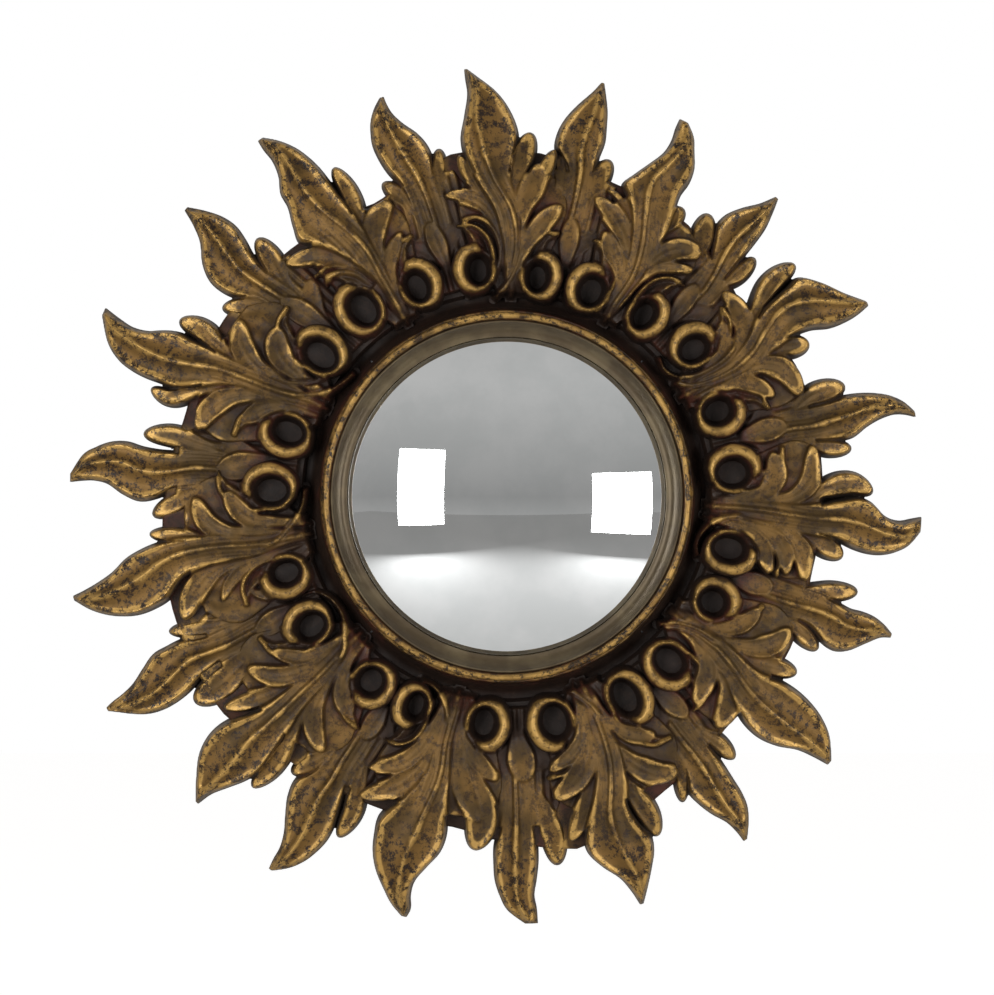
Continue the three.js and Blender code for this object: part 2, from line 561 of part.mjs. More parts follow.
// A spoon-shaped lobe: narrow at its root, widest past its middle and round at its end.
function lobe([halfWidth, ...line], relief, dish = DISH) {
  const curve = spine(line);
  const rings = LOBE_STATIONS.map((share) => {
    const past = Math.max(0, (share - LOBE_WIDEST) / (1 - LOBE_WIDEST));
    const swell = share < LOBE_WIDEST ? mix(LOBE_ROOT, 1, share / LOBE_WIDEST) : Math.sqrt(1 - past * past);
    const width = halfWidth * swell;
    const rim = Math.max(RIM_SHARE * width, width - SKIRT);
    const crown = relief * bow(mix(line[1], line.at(-1), share)) - LOBE_DROOP * share * share;
    const middle = dish === 0 ? [] : [beside(curve, share, 0, crown - dish * swell)];
    return [
      beside(curve, share, -width, FOOT),
      beside(curve, share, -rim, crown),
      ...middle,
      beside(curve, share, rim, crown),
      beside(curve, share, width, FOOT),
    ];
  });
  return loft(rings);
}

// The rounded shell between two sprays that covers the root of a back leaf.
function hood(entry, relief) {
  return lobe(entry, relief, -DISH);
}

// An oval form whose long axis points away from the centre, from a profile of [share of the half
// width, rise] points.
function oval([bearing, measured, halfWidth, halfHeight], profile) {
  const geometry = lathe(profile, SCROLL_STEPS);
  geometry.scale(halfWidth, 1, halfHeight);
  geometry.rotateY((bearing * Math.PI) / 180);
  geometry.translate(...place(bearing, spread(measured), 0));
  return solidOf(geometry);
}

// The hollow ring of a scroll.
function scroll(entry) {
  return oval(entry, [
    [0, SCROLL_FLOOR],
    [SCROLL_FLOOR_SHARE, SCROLL_FLOOR],
    [1, SCROLL_RELIEF],
    [SCROLL_RIM_SHARE, SCROLL_RELIEF],
    [SCROLL_FOOT_SHARE, FOOT],
    [0, FOOT],
  ]);
}

// What the hollow of a scroll clears away from its neighbours.
function scrollBore(entry) {
  const above = SCROLL_RELIEF + CUT_START;
  return oval(entry, [
    [0, SCROLL_FLOOR],
    [SCROLL_FLOOR_SHARE + SCROLL_PLAY, SCROLL_FLOOR],
    [1 + SCROLL_PLAY, above],
    [0, above],
  ]);
}

// ---- the casting -------------------------------------------------------------------------------

function web() {
  const shape = new THREE.Shape();
  WEB_NOTCHES.forEach(([bearing, measured], i) => {
    const [x, , z] = place(bearing, spread(measured), 0);
    if (i === 0) shape.moveTo(x, z);
    else shape.lineTo(x, z);
  });
  return slab(shape, FOOT, WEB_RELIEF).subtract(gutter());
}

// The groove round the bead, clear of the slope that the screws of the turn buttons reach into.
function gutter() {
  const inner = FILLET_RADIUS + GROUND_WIDTH;
  const outer = inner + GUTTER_WIDTH;
  const floor = WEB_RELIEF - GUTTER_DEPTH;
  return turned([
    [inner, WEB_RELIEF + CUT_START],
    [inner + GUTTER_SLOPE, floor],
    [outer - GUTTER_SLOPE, floor],
    [outer, WEB_RELIEF + CUT_START],
    [inner, WEB_RELIEF + CUT_START],
  ]);
}

function beadRing() {
  const foot = FILLET_RADIUS + GROUND_WIDTH;
  const bead = BEAD_SECTION.map(([share, down]) => [OPENING_RADIUS + share * BEAD_WIDTH, BEAD_RELIEF - down]);
  const [share, drop] = GROUND_STEP;
  return turned([
    [OPENING_RADIUS, FOOT],
    ...bead,
    [mix(FILLET_RADIUS, foot, share), BEAD_RELIEF - drop],
    [foot, WEB_RELIEF],
    [foot, FOOT],
    [OPENING_RADIUS, FOOT],
  ]);
}

// Everything that is cut off the casting: behind its back plane, in the opening, and from behind the
// seats of what it holds.
function castingCuts() {
  const front = BEAD_RELIEF + SCROLL_RELIEF;
  const everything = 2 * (FILLET_RADIUS + SPRAY_REACH);
  return [
    disc(everything, 2 * FOOT, 0, GLASS_CENTRE, 4),
    disc(OPENING_RADIUS, -CUT_START, front),
    disc(REBATE_RADIUS, -CUT_START, RING_SEAT + FLANGE_THICKNESS + FIT),
    disc(RECESS_RADIUS, -CUT_START, BACK_RECESS),
    slab(plateShape(FIT), -CUT_START, PLATE_FRONT),
    slab(pocketShape(), -CUT_START, POCKET_DEPTH),
    ...BUTTON_BEARINGS.map((bearing) => screwBore(buttonPivot(bearing), BUTTON_BACK + SCREW_LENGTH + FIT)),
    ...Object.values(SIDES).map((side) => screwBore(plateScrewPlace(side), PLATE_BACK + SCREW_LENGTH + FIT)),
  ];
}

function leafFrame() {
  const sprays = [];
  for (const spray of FRONT_SPRAYS) {
    sprays.push(blade(spray.blade, FRONT_RELIEF));
    spray.lobes.forEach((entry, i) => {
      sprays.push(lobe(entry, FRONT_RELIEF - LOBE_SET_BACK + LOBE_LAYER * i));
    });
  }
  for (const leaf of BACK_LEAVES) {
    sprays.push(blade(leaf.blade, BACK_RELIEF));
    leaf.lobes.forEach((entry) => sprays.push(lobe(entry, BACK_RELIEF - LOBE_SET_BACK / 2, 0)));
    sprays.push(hood(leaf.hood, HOOD_RELIEF));
  }
  const scrolls = FRONT_SPRAYS.flatMap((spray) => spray.scrolls);
  const hollowed = scrolls.reduce((body, entry) => body.subtract(scrollBore(entry)), joined(sprays));
  const whole = joined([web(), beadRing(), hollowed, ...scrolls.map(scroll)]);
  return castingCuts().reduce((body, cut) => body.subtract(cut), whole);
}

// ---- glass, ring and what holds them -----------------------------------------------------------

function convexGlass() {
  const back = [0, 0.25, 0.5, 0.75, 1].map((share) => {
    return [share * GLASS_RADIUS, GLASS_BACK + glassRise(share * GLASS_RADIUS)];
  });
  const front = back.map(([distance, rise]) => [distance, rise + GLASS_THICKNESS]);
  return turned([...back, ...front.reverse()]);
}

function sightRing() {
  const outer = OPENING_RADIUS - FIT;
  const flange = REBATE_RADIUS - FIT;
  const top = BEAD_RELIEF - RING_BELOW_BEAD;
  const lip = RING_SEAT + RING_LIP;
  const cove = COVE_SECTION.map(([share, up]) => [SIGHT_RADIUS + share * COVE_WIDTH, mix(lip, top, up)]);
  return turned([
    [SIGHT_RADIUS, RING_SEAT],
    [SIGHT_RADIUS, lip - FIT],
    ...cove,
    [outer, top],
    [outer, RING_SEAT + FLANGE_THICKNESS],
    [flange, RING_SEAT + FLANGE_THICKNESS],
    [flange, RING_SEAT],
    [SIGHT_RADIUS, RING_SEAT],
  ]);
}

function cushionRing() {
  const inner = GLASS_RADIUS - CUSHION_WIDTH;
  const top = CUSHION_BACK + CUSHION_THICKNESS;
  return turned([
    [inner, CUSHION_BACK],
    [inner, top],
    [GLASS_RADIUS, top],
    [GLASS_RADIUS, CUSHION_BACK],
    [inner, CUSHION_BACK],
  ]);
}

function backingBoard() {
  return disc(REBATE_RADIUS - FIT, BOARD_BACK, BOARD_BACK + BOARD_THICKNESS);
}

// ---- turn buttons, hanger and pads -------------------------------------------------------------

function buttonPivot(bearing) {
  return place(bearing, REBATE_RADIUS + BUTTON_INSET, 0);
}

// A turn button: a round-ended bar from its screw towards the centre of the board.
function turnButton(bearing) {
  const radius = BUTTON_WIDTH / 2;
  const shape = new THREE.Shape();
  shape.absarc(0, BUTTON_HEEL, radius, 0, Math.PI);
  shape.absarc(0, BUTTON_HEEL - BUTTON_LENGTH + BUTTON_WIDTH, radius, Math.PI, 2 * Math.PI);
  const bore = new THREE.Path();
  bore.absarc(0, 0, SCREW_RADIUS + FIT, 0, 2 * Math.PI, true);
  shape.holes.push(bore);
  const geometry = new THREE.ExtrudeGeometry(shape, {
    depth: BUTTON_THICKNESS,
    bevelEnabled: false,
    curveSegments: SMALL_STEPS / 2,
  });
  geometry.rotateX(Math.PI / 2);
  geometry.rotateY((bearing * Math.PI) / 180);
  const [x, , z] = buttonPivot(bearing);
  geometry.translate(x, -BUTTON_BACK, z);
  return solidOf(geometry);
}

// A pan-head screw whose head lies behind the given rise.
function screw(centre, underHead) {
  return turned(
    [
      [0, underHead - SCREW_HEAD_HEIGHT],
      [0.6 * SCREW_HEAD_RADIUS, underHead - SCREW_HEAD_HEIGHT],
      [SCREW_HEAD_RADIUS, underHead - 0.45 * SCREW_HEAD_HEIGHT],
      [SCREW_HEAD_RADIUS, underHead],
      [SCREW_RADIUS, underHead],
      [SCREW_RADIUS, underHead + SCREW_LENGTH - 2],
      [0.4 * SCREW_RADIUS, underHead + SCREW_LENGTH],
      [0, underHead + SCREW_LENGTH],
    ],
    centre,
    SMALL_STEPS,
  );
}

function plateScrewPlace(side) {
  return [(side * PLATE_SCREW_SPACING) / 2, 0, PLATE_MIDDLE];
}

// The round-ended outline of the hanger plate, grown by a clearance.
function plateShape(grow) {
  const reach = (PLATE_LENGTH - PLATE_WIDTH) / 2;
  const radius = PLATE_WIDTH / 2 + grow;
  const shape = new THREE.Shape();
  shape.absarc(reach, PLATE_MIDDLE, radius, -Math.PI / 2, Math.PI / 2);
  shape.absarc(-reach, PLATE_MIDDLE, radius, Math.PI / 2, (3 * Math.PI) / 2);
  return shape;
}

// The room behind the keyhole for the head of the wall screw.
function pocketShape() {
  const half = KEYHOLE_HEAD_RADIUS + POCKET_MARGIN;
  const shape = new THREE.Shape();
  shape.moveTo(half, POCKET_MARGIN);
  shape.lineTo(-half, POCKET_MARGIN);
  shape.lineTo(-half, -KEYHOLE_DROP - half);
  shape.lineTo(half, -KEYHOLE_DROP - half);
  return shape;
}

// The hanger plate: a slot whose round top is the seat, over a larger round entry.
function keyholePlate() {
  const shoulder = Math.asin(KEYHOLE_SLOT_RADIUS / KEYHOLE_HEAD_RADIUS);
  const keyhole = new THREE.Path();
  keyhole.absarc(0, -KEYHOLE_SLOT_RADIUS, KEYHOLE_SLOT_RADIUS, 0, Math.PI);
  keyhole.absarc(0, -KEYHOLE_DROP, KEYHOLE_HEAD_RADIUS, Math.PI / 2 + shoulder, (5 * Math.PI) / 2 - shoulder);
  const shape = plateShape(0);
  shape.holes.push(keyhole);
  const bores = Object.values(SIDES).map((side) => screwBore(plateScrewPlace(side), PLATE_FRONT + CUT_START));
  return bores.reduce((body, bore) => body.subtract(bore), slab(shape, PLATE_BACK, PLATE_FRONT));
}

function bumper(side) {
  return turned(
    [
      [0, -BUMPER_THICKNESS],
      [BUMPER_RADIUS - 1, -BUMPER_THICKNESS],
      [BUMPER_RADIUS, 1 - BUMPER_THICKNESS],
      [BUMPER_RADIUS, 0],
      [0, 0],
    ],
    place(side * BUMPER_BEARING, BUMPER_DISTANCE, 0),
    2 * SMALL_STEPS,
  );
}

// ---- the assembly ------------------------------------------------------------------------------

const FINISHES = {
  gilt: { color: "#8c6a3a", roughness: 0.5, metalness: 0.4 },
  bronze: { color: "#5a5044", roughness: 0.45, metalness: 0.5 },
  mirror: { color: "#e6e8ea", roughness: 0.03, metalness: 1 },
  foam: { color: "#3a3a3a", roughness: 0.95, metalness: 0 },
  hardboard: { color: "#6b4a30", roughness: 0.85, metalness: 0 },
  steel: { color: "#a9abae", roughness: 0.35, metalness: 0.9 },
  felt: { color: "#4a4038", roughness: 1, metalness: 0 },
};

function meshOf(name, solid, finish) {
  const made = solid.getMesh();
  const geometry = new THREE.BufferGeometry();
  geometry.setAttribute("position", new THREE.BufferAttribute(made.vertProperties, made.numProp));
  geometry.setIndex(new THREE.BufferAttribute(made.triVerts, 1));
  const mesh = new THREE.Mesh(geometry, new THREE.MeshStandardMaterial(FINISHES[finish]));
  mesh.name = name;
  return mesh;
}

const group = new THREE.Group();
group.add(
  meshOf("leaf_frame", leafFrame(), "gilt"),
  meshOf("sight_ring", sightRing(), "bronze"),
  meshOf("convex_glass", convexGlass(), "mirror"),
  meshOf("cushion_ring", cushionRing(), "foam"),
  meshOf("backing_board", backingBoard(), "hardboard"),
  meshOf("keyhole_plate", keyholePlate(), "steel"),
);
BUTTON_BEARINGS.forEach((bearing, i) => {
  group.add(meshOf(`turn_button_${i + 1}`, turnButton(bearing), "steel"));
  group.add(meshOf(`button_screw_${i + 1}`, screw(buttonPivot(bearing), BUTTON_BACK - FIT), "steel"));
});
for (const [name, side] of Object.entries(SIDES)) {
  group.add(meshOf(`plate_screw_${name}`, screw(plateScrewPlace(side), PLATE_BACK), "steel"));
  group.add(meshOf(`bumper_${name}`, bumper(side), "felt"));
}

export default group;
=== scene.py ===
"""A convex butlers mirror: a gilt cast sunburst of acanthus sprays round a domed glass.

Carved forms are worked out as rasters of rise over the plane of the back, in millimetres, and every
other form is turned, drawn out or cut from a primitive. In the plane of the back a point is given by its
bearing, in degrees clockwise from the top, and its distance from the centre of the glass. Its rise is how
far it stands forward of the back. Blender's X is right, Z is up and the mirror looks along -Y.
"""

import logging
import math
from collections.abc import Iterator, Sequence
from contextlib import contextmanager
from dataclasses import dataclass, field
from enum import Enum
from typing import Any

import bpy
import numpy as np
from mathutils import Matrix, Vector


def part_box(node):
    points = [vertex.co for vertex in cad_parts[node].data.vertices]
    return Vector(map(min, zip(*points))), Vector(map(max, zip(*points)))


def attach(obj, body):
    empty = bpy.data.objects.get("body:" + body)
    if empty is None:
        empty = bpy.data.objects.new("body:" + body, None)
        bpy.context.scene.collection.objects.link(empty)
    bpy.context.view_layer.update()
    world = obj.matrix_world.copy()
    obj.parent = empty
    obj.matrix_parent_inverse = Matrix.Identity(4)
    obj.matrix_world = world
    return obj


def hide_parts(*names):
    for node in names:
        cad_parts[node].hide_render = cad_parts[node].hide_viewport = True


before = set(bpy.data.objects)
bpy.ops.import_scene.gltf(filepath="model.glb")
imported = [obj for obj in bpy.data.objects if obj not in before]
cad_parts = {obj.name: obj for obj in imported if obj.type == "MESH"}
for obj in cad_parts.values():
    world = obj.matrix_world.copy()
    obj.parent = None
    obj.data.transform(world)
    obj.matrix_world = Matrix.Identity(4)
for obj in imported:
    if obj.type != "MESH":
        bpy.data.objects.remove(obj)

LOG = logging.getLogger("butlers_mirror")
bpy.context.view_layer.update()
MM = 0.001
SLOT_DISTANCE = 166.0  # from the centre of the glass up to the seat of the hanger's slot
FRAME_BODY = "frame_body"
Profile = Sequence[tuple[float, float]]
Numbers = tuple[float, ...]


# ---- the leaves, read off the front ------------------------------------------------------------


@dataclass(frozen=True)
class Spray:
    """A front spray; its stem runs up into its blade.

    Args:
        blade: rows of (distance, bearing of the left edge, of the right edge, of the midrib).
        lobes: (half width, then bearing and distance of points from root to end), back to front.
        scrolls: (bearing, distance, half width, half height) of the opening of each scroll.
        ridges: (half width, then bearing and distance of points) of the rolls that wrap the stem.
    """

    blade: tuple[Numbers, ...]
    lobes: tuple[Numbers, ...]
    scrolls: tuple[Numbers, ...]
    ridges: tuple[Numbers, ...] = ()


@dataclass(frozen=True)
class BackLeaf:
    """A leaf between two sprays, behind its hood; blade and lobes as in Spray, hood as a lobe."""

    blade: tuple[Numbers, ...]
    lobes: tuple[Numbers, ...]
    hood: Numbers


FRONT_SPRAYS: tuple[Spray, ...] = (
    Spray(
        blade=(
            (140, -0.5, 2.8, 1.5), (160, -1.2, 3.2, 2.4), (180, -2.5, 2.8, 1.2), (200, -5.5, 1, -2),
            (215, -7, 1.6, -3.5), (230, -7.4, 2, -4.3), (245, -6.4, 0.8, -4.6), (260, -5.6, -1.6, -4.4),
            (270, -5.7, -4.1, -4.9), (275, -5.7, -5.3, -5.5),
        ),
        lobes=(
            (5.5, -4.5, 190, -6.8, 205, -8, 221), (6.5, -1.5, 170, -5, 186, -9, 193.5, -12.3, 195),
            (8.5, 0.5, 190, 1.8, 205, 2.8, 218, 3.9, 233.5), (6.5, 3, 180, 4.8, 195, 6.8, 210, 8, 224),
            (9, 2.5, 172, 3.8, 188, 5.2, 201, 5.6, 214), (7.5, 3.3, 150, 5.2, 163, 7.8, 176, 10.8, 188),
        ),
        ridges=(
            (1.8, 3.2, 158, 3, 150, 1.3, 139, -1.2, 131, -3.2, 127),
            (1.6, -10.5, 176, -6, 177.5, -3, 170, -1.5, 155, -2.8, 142, -6, 132.5, -10, 130.3),
        ),
        scrolls=((-7.2, 145, 9.5, 11.7), (8, 140.5, 9.4, 11.6),),
    ),
    Spray(
        blade=(
            (140, 27.4, 30.8, 29.3), (160, 27.5, 31.8, 29.8), (180, 25.8, 31.8, 28.3),
            (200, 22.8, 31.2, 26), (212, 20.2, 30.6, 25), (222, 21.6, 30.1, 24.8),
            (232, 23.2, 30.3, 25.8), (242, 24.5, 29.8, 26.6), (252, 24.8, 28.5, 26.9),
            (260, 24.6, 27.4, 26.2), (266, 24.6, 25.9, 25.2),
        ),
        lobes=(
            (7.5, 29.2, 188, 30.4, 202, 31.6, 216.5), (4.5, 26, 184, 23, 196, 20.3, 203, 17.8, 205.5),
            (8, 27.8, 168, 24, 182, 20, 192, 15.9, 199),
            (6.5, 28, 152, 25.5, 162, 22.5, 171, 20.1, 180),
            (8, 31.2, 165, 32.5, 180, 35, 191, 39.3, 198.5),
            (4.5, 31.8, 160, 33.5, 172, 36.5, 180, 39.8, 186),
        ),
        scrolls=((22.3, 141, 10.6, 12.2), (37, 144.5, 9.3, 12),),
    ),
    Spray(
        blade=(
            (145, 58.6, 62, 60.6), (160, 58.8, 62.6, 60.9), (180, 56.8, 62, 59.6),
            (195, 54, 61.5, 57.2), (210, 53.2, 61, 55.8), (222, 53, 61.4, 56.3), (233, 53, 62.5, 57.8),
            (243, 55.6, 62.8, 59.4), (252, 58.8, 62.7, 60.9), (262, 61.5, 62.2, 61.8),
        ),
        lobes=(
            (8, 54.5, 188, 52.3, 203, 51, 219, 51.2, 237), (8, 60.5, 188, 61.8, 201, 63.3, 217),
            (8, 58.6, 168, 56, 181, 51.5, 189, 46, 189),
            (4.5, 57.3, 150, 56.2, 163, 54, 171.5, 50.8, 177),
            (8.5, 61.8, 168, 63, 183, 66, 194, 71.3, 198.5),
            (6.5, 62.9, 150, 63.8, 162, 65.8, 172, 69.6, 181.5),
        ),
        ridges=(
            (1.8, 56.2, 176, 57.6, 165, 57.9, 153, 57, 140, 54.5, 131.5, 51, 128.7, 47.8, 131),
            (1.8, 60.8, 168, 60.5, 150, 59, 137, 56, 129.5),
        ),
        scrolls=((51.7, 151, 10.2, 12), (68, 144.5, 10.6, 12),),
    ),
    Spray(
        blade=(
            (145, 90.6, 94.6, 92.8), (160, 90.8, 95.5, 93), (180, 91.4, 97, 93.6), (197, 91, 97.5, 94),
            (212, 90.3, 97.8, 93.9), (225, 90, 98.8, 94.4), (233, 90.8, 99.1, 95),
            (243, 93, 98.9, 95.6), (252, 93.5, 98.1, 95.8), (260, 93.1, 96.8, 95.2),
            (266, 92.8, 94.9, 93.8),
        ),
        lobes=(
            (8.5, 91, 186, 88.6, 203, 87.8, 219, 89.4, 234.5), (8, 96.5, 186, 98.3, 201, 100.3, 218.5),
            (7.5, 91.3, 166, 90, 182, 87, 192.5, 80.3, 197),
            (8, 90.4, 150, 89, 163, 85.5, 171, 80.2, 171),
            (7.5, 96.3, 165, 98, 180, 101, 191, 106.3, 197.5),
            (6.5, 96.8, 156, 98.7, 171, 101.5, 179.5, 105.8, 184),
            (6.5, 97.2, 145, 99, 158, 102, 166, 107, 173.5),
        ),
        ridges=((2, 94.6, 152, 95.3, 141, 97.3, 131.5, 100.5, 126, 104, 124.3, 107, 127),),
        scrolls=((83.9, 144.3, 11.6, 13), (103.2, 145, 10.8, 13.2),),
    ),
    Spray(
        blade=(
            (145, 122.8, 127.3, 125.4), (160, 123.2, 128.2, 125.6), (178, 124, 130, 127),
            (195, 124.6, 132.5, 128.6), (208, 123.8, 133.8, 129.2), (222, 123.6, 133.9, 129.2),
            (235, 124.1, 132.8, 129.1), (247, 125.1, 131.1, 129), (257, 126.5, 130.4, 129),
            (268, 129.1, 129.9, 129.5),
        ),
        lobes=(
            (7.5, 125, 178, 123, 196, 121.3, 217.5),
            (8, 123.5, 168, 121.3, 184, 118.5, 194, 114.8, 199),
            (6.5, 122.6, 150, 121, 162, 118.3, 170, 113.6, 176.5),
            (9, 128.6, 170, 130.5, 185, 133.5, 194, 138.2, 199),
            (7.5, 127.6, 150, 129.5, 163, 132.5, 171, 138, 178),
        ),
        ridges=(
            (2, 124.6, 165, 124.6, 150, 125.6, 140, 127.5, 132, 129.8, 127),
            (1.6, 126, 165, 125.9, 150, 127, 139, 129.3, 131),
        ),
        scrolls=((117.1, 147, 11, 11.5), (135.4, 147, 11.3, 13.3),),
    ),
    Spray(
        blade=(
            (140, 156.6, 159.8, 158), (160, 155.8, 160.5, 158), (180, 155.9, 162, 158.8),
            (197, 157, 164, 160.5), (210, 158.2, 166, 161.9), (222, 157.8, 167.3, 162.2),
            (234, 156.8, 167.2, 162), (245, 157.3, 165.5, 161.5), (255, 158.6, 163.5, 161.1),
            (265, 160, 162.5, 161.1), (275, 161.4, 161.9, 161.6),
        ),
        lobes=(
            (8.5, 159, 188, 157, 204, 156, 221, 156, 238),
            (8.5, 160.8, 172, 163, 191, 166, 206, 169.8, 224),
            (9, 157, 172, 154.3, 189, 151.5, 200, 147.5, 206),
            (6.5, 155.8, 153, 153.5, 166, 151, 173.5, 147.8, 178.5),
            (8.5, 160.6, 155, 162.5, 172, 166, 184, 171.5, 195),
            (6, 161.6, 145, 163.3, 160, 166.5, 169, 171.5, 176),
        ),
        ridges=((2, 156.8, 155, 157.6, 145, 159.3, 137, 161.5, 130.5),),
        scrolls=((149.4, 148, 10.7, 14.5), (168, 146, 11.6, 13.8),),
    ),
    Spray(
        blade=(
            (140, 192, 195.2, 193.8), (160, 192.3, 196.2, 194), (180, 191.3, 196.5, 193.4),
            (195, 190.8, 198.3, 193.9), (208, 190.4, 200.5, 194.6), (220, 190, 201.9, 195),
            (232, 190.6, 201.5, 195.6), (243, 192.2, 200.7, 195.8), (253, 193.4, 199.4, 195.6),
            (263, 193.5, 197.5, 195.1), (272, 193.1, 195.6, 194.2), (277, 193.4, 194.1, 193.8),
        ),
        lobes=(
            (12, 189.5, 168, 186.5, 186, 184.5, 204, 185.2, 227.5),
            (8, 191, 160, 189.3, 180, 187, 196, 184.6, 208),
            (6.5, 189.9, 148, 187.5, 164, 185, 172, 181.8, 180.5),
            (8.5, 196.3, 160, 198, 182, 201.3, 198, 206.6, 213),
            (7, 197.4, 148, 199, 168, 202, 182, 207.4, 194),
        ),
        ridges=((2, 194.3, 150, 195.8, 140, 198.2, 133, 201, 129.3, 204.3, 128.6),),
        scrolls=((185.7, 144.5, 10.3, 12.5), (203.5, 144.7, 8.9, 11),),
    ),
    Spray(
        blade=(
            (140, 225.3, 228.8, 227), (160, 224, 228.6, 226.4), (180, 223.8, 228.8, 226.4),
            (197, 223, 229.2, 226.3), (212, 222.2, 230, 226.4), (225, 221.8, 231.2, 226.5),
            (237, 221.8, 231.6, 226), (248, 222.6, 231.1, 225.7), (258, 223.7, 229.9, 225.7),
            (268, 224.7, 227.9, 225.7), (279, 225.1, 225.6, 225.3),
        ),
        lobes=(
            (7.5, 223.4, 193, 221.6, 209, 220.9, 227, 221.2, 247.5),
            (7.5, 228.8, 172, 229.8, 192, 231.4, 208, 233.3, 226),
            (7.5, 224.2, 163, 222, 182, 219.5, 192, 215.6, 200.5),
            (7, 223.6, 146, 221, 159, 218.5, 166, 214.9, 172.5),
            (7.5, 229, 155, 230, 173, 232.3, 186, 236.6, 197.5),
            (6, 230, 146, 231, 160, 233, 168.5, 236.8, 179),
        ),
        ridges=(
            (
                2, 225.3, 152, 226.6, 142, 229.3, 135.5, 232.5, 129.8, 236.5, 127.8,
                240.5, 129.8, 243.6, 136, 244.3, 145,
            ),
        ),
        scrolls=((216.3, 145.5, 11, 11.6), (236.5, 149, 10.7, 12.4),),
    ),
    Spray(
        blade=(
            (140, 257.5, 261, 259.3), (160, 256.5, 261.3, 259.2), (180, 256.6, 262.3, 260),
            (197, 256.6, 262.8, 260.3), (212, 255.5, 263, 260), (225, 253, 262.6, 259),
            (237, 252.2, 261.8, 257.6), (247, 252.1, 260.8, 256.9), (257, 252.6, 259.2, 256.4),
            (267, 253.5, 258.2, 256.2), (277, 254.9, 257.5, 256.3), (285, 256.5, 257.1, 256.8),
        ),
        lobes=(
            (9.5, 257.2, 172, 255.8, 193, 253, 208, 248.8, 221), (6, 261.3, 188, 262.9, 204, 264, 230),
            (4.8, 256.2, 150, 255, 168, 253, 182, 249.8, 192.5),
            (4, 246.8, 152, 247.3, 163, 249.8, 174),
            (7.5, 261.9, 163, 262.8, 179, 265, 190.5, 270, 198.5),
            (7.5, 263.8, 146, 264.5, 160, 266.8, 169, 271.2, 179),
        ),
        ridges=((2, 258.3, 160, 259.3, 148, 261.5, 140.5, 264.5, 133.5, 268, 129.6, 272, 128.5),),
        scrolls=((250.9, 148.3, 10.3, 12), (271.5, 149.5, 11.5, 13.5),),
    ),
    Spray(
        blade=(
            (140, 294.3, 297.5, 296), (160, 292.3, 297, 294.8), (180, 292.3, 296.6, 294.3),
            (197, 290.8, 296.8, 294), (210, 288.8, 297, 293.2), (222, 287.8, 296.8, 292.4),
            (233, 288, 296.8, 292), (243, 288.1, 296, 292), (253, 288.5, 294.8, 292.3),
            (263, 289.3, 294.4, 292.7), (273, 290.9, 294.7, 293.2), (284, 294.1, 295.2, 294.7),
        ),
        lobes=(
            (6.5, 290.5, 198, 288, 212, 286.4, 224, 286.9, 238),
            (8, 296.3, 193, 297.8, 208, 298.7, 221, 298.3, 238),
            (8.5, 292.2, 170, 289.8, 186, 286.5, 196, 281.8, 202),
            (6.5, 292.1, 148, 290.6, 161, 288.3, 168.5, 285.3, 175),
            (8.5, 296.9, 162, 297.7, 181, 299.7, 193, 303.6, 204),
            (9, 300, 148, 301, 163, 303, 173, 306.8, 181),
        ),
        ridges=(
            (2, 294.8, 160, 295.6, 149, 297.5, 140, 300.5, 131.5, 304.5, 127, 308.6, 125),
            (1.6, 297.4, 160, 298.6, 150, 300.8, 142.5, 303.8, 136.5),
        ),
        scrolls=((286.5, 144.6, 10.7, 13), (307.3, 148.5, 11.4, 14),),
    ),
    Spray(
        blade=(
            (140, 328.8, 331.5, 330.3), (160, 328.5, 332, 330.3), (180, 326, 332, 330.4),
            (195, 323.5, 332, 329.3), (208, 320.6, 331.8, 328), (220, 321.5, 331.2, 327),
            (232, 322.8, 330.8, 326.6), (242, 323.2, 330.4, 326.6), (251, 324.4, 329.8, 326.7),
            (262, 325, 328.7, 326.6), (272, 324.9, 327.1, 326), (278, 325, 325.8, 325.3),
        ),
        lobes=(
            (7, 331.2, 188, 332.4, 204, 332.6, 219, 332.2, 238),
            (8, 327.9, 168, 325, 184, 321.5, 195, 316, 204.5),
            (8.5, 331.6, 168, 333, 184, 335, 194, 338.8, 203),
            (5.5, 331.8, 148, 333, 162, 335, 171, 338.4, 181),
        ),
        ridges=((2.2, 318.9, 174, 320.5, 178.5, 323, 177.5, 325.8, 170.5, 327.4, 159),),
        scrolls=((322.6, 150, 11.4, 14), (336.9, 144.8, 9.8, 12.3),),
    ),
)

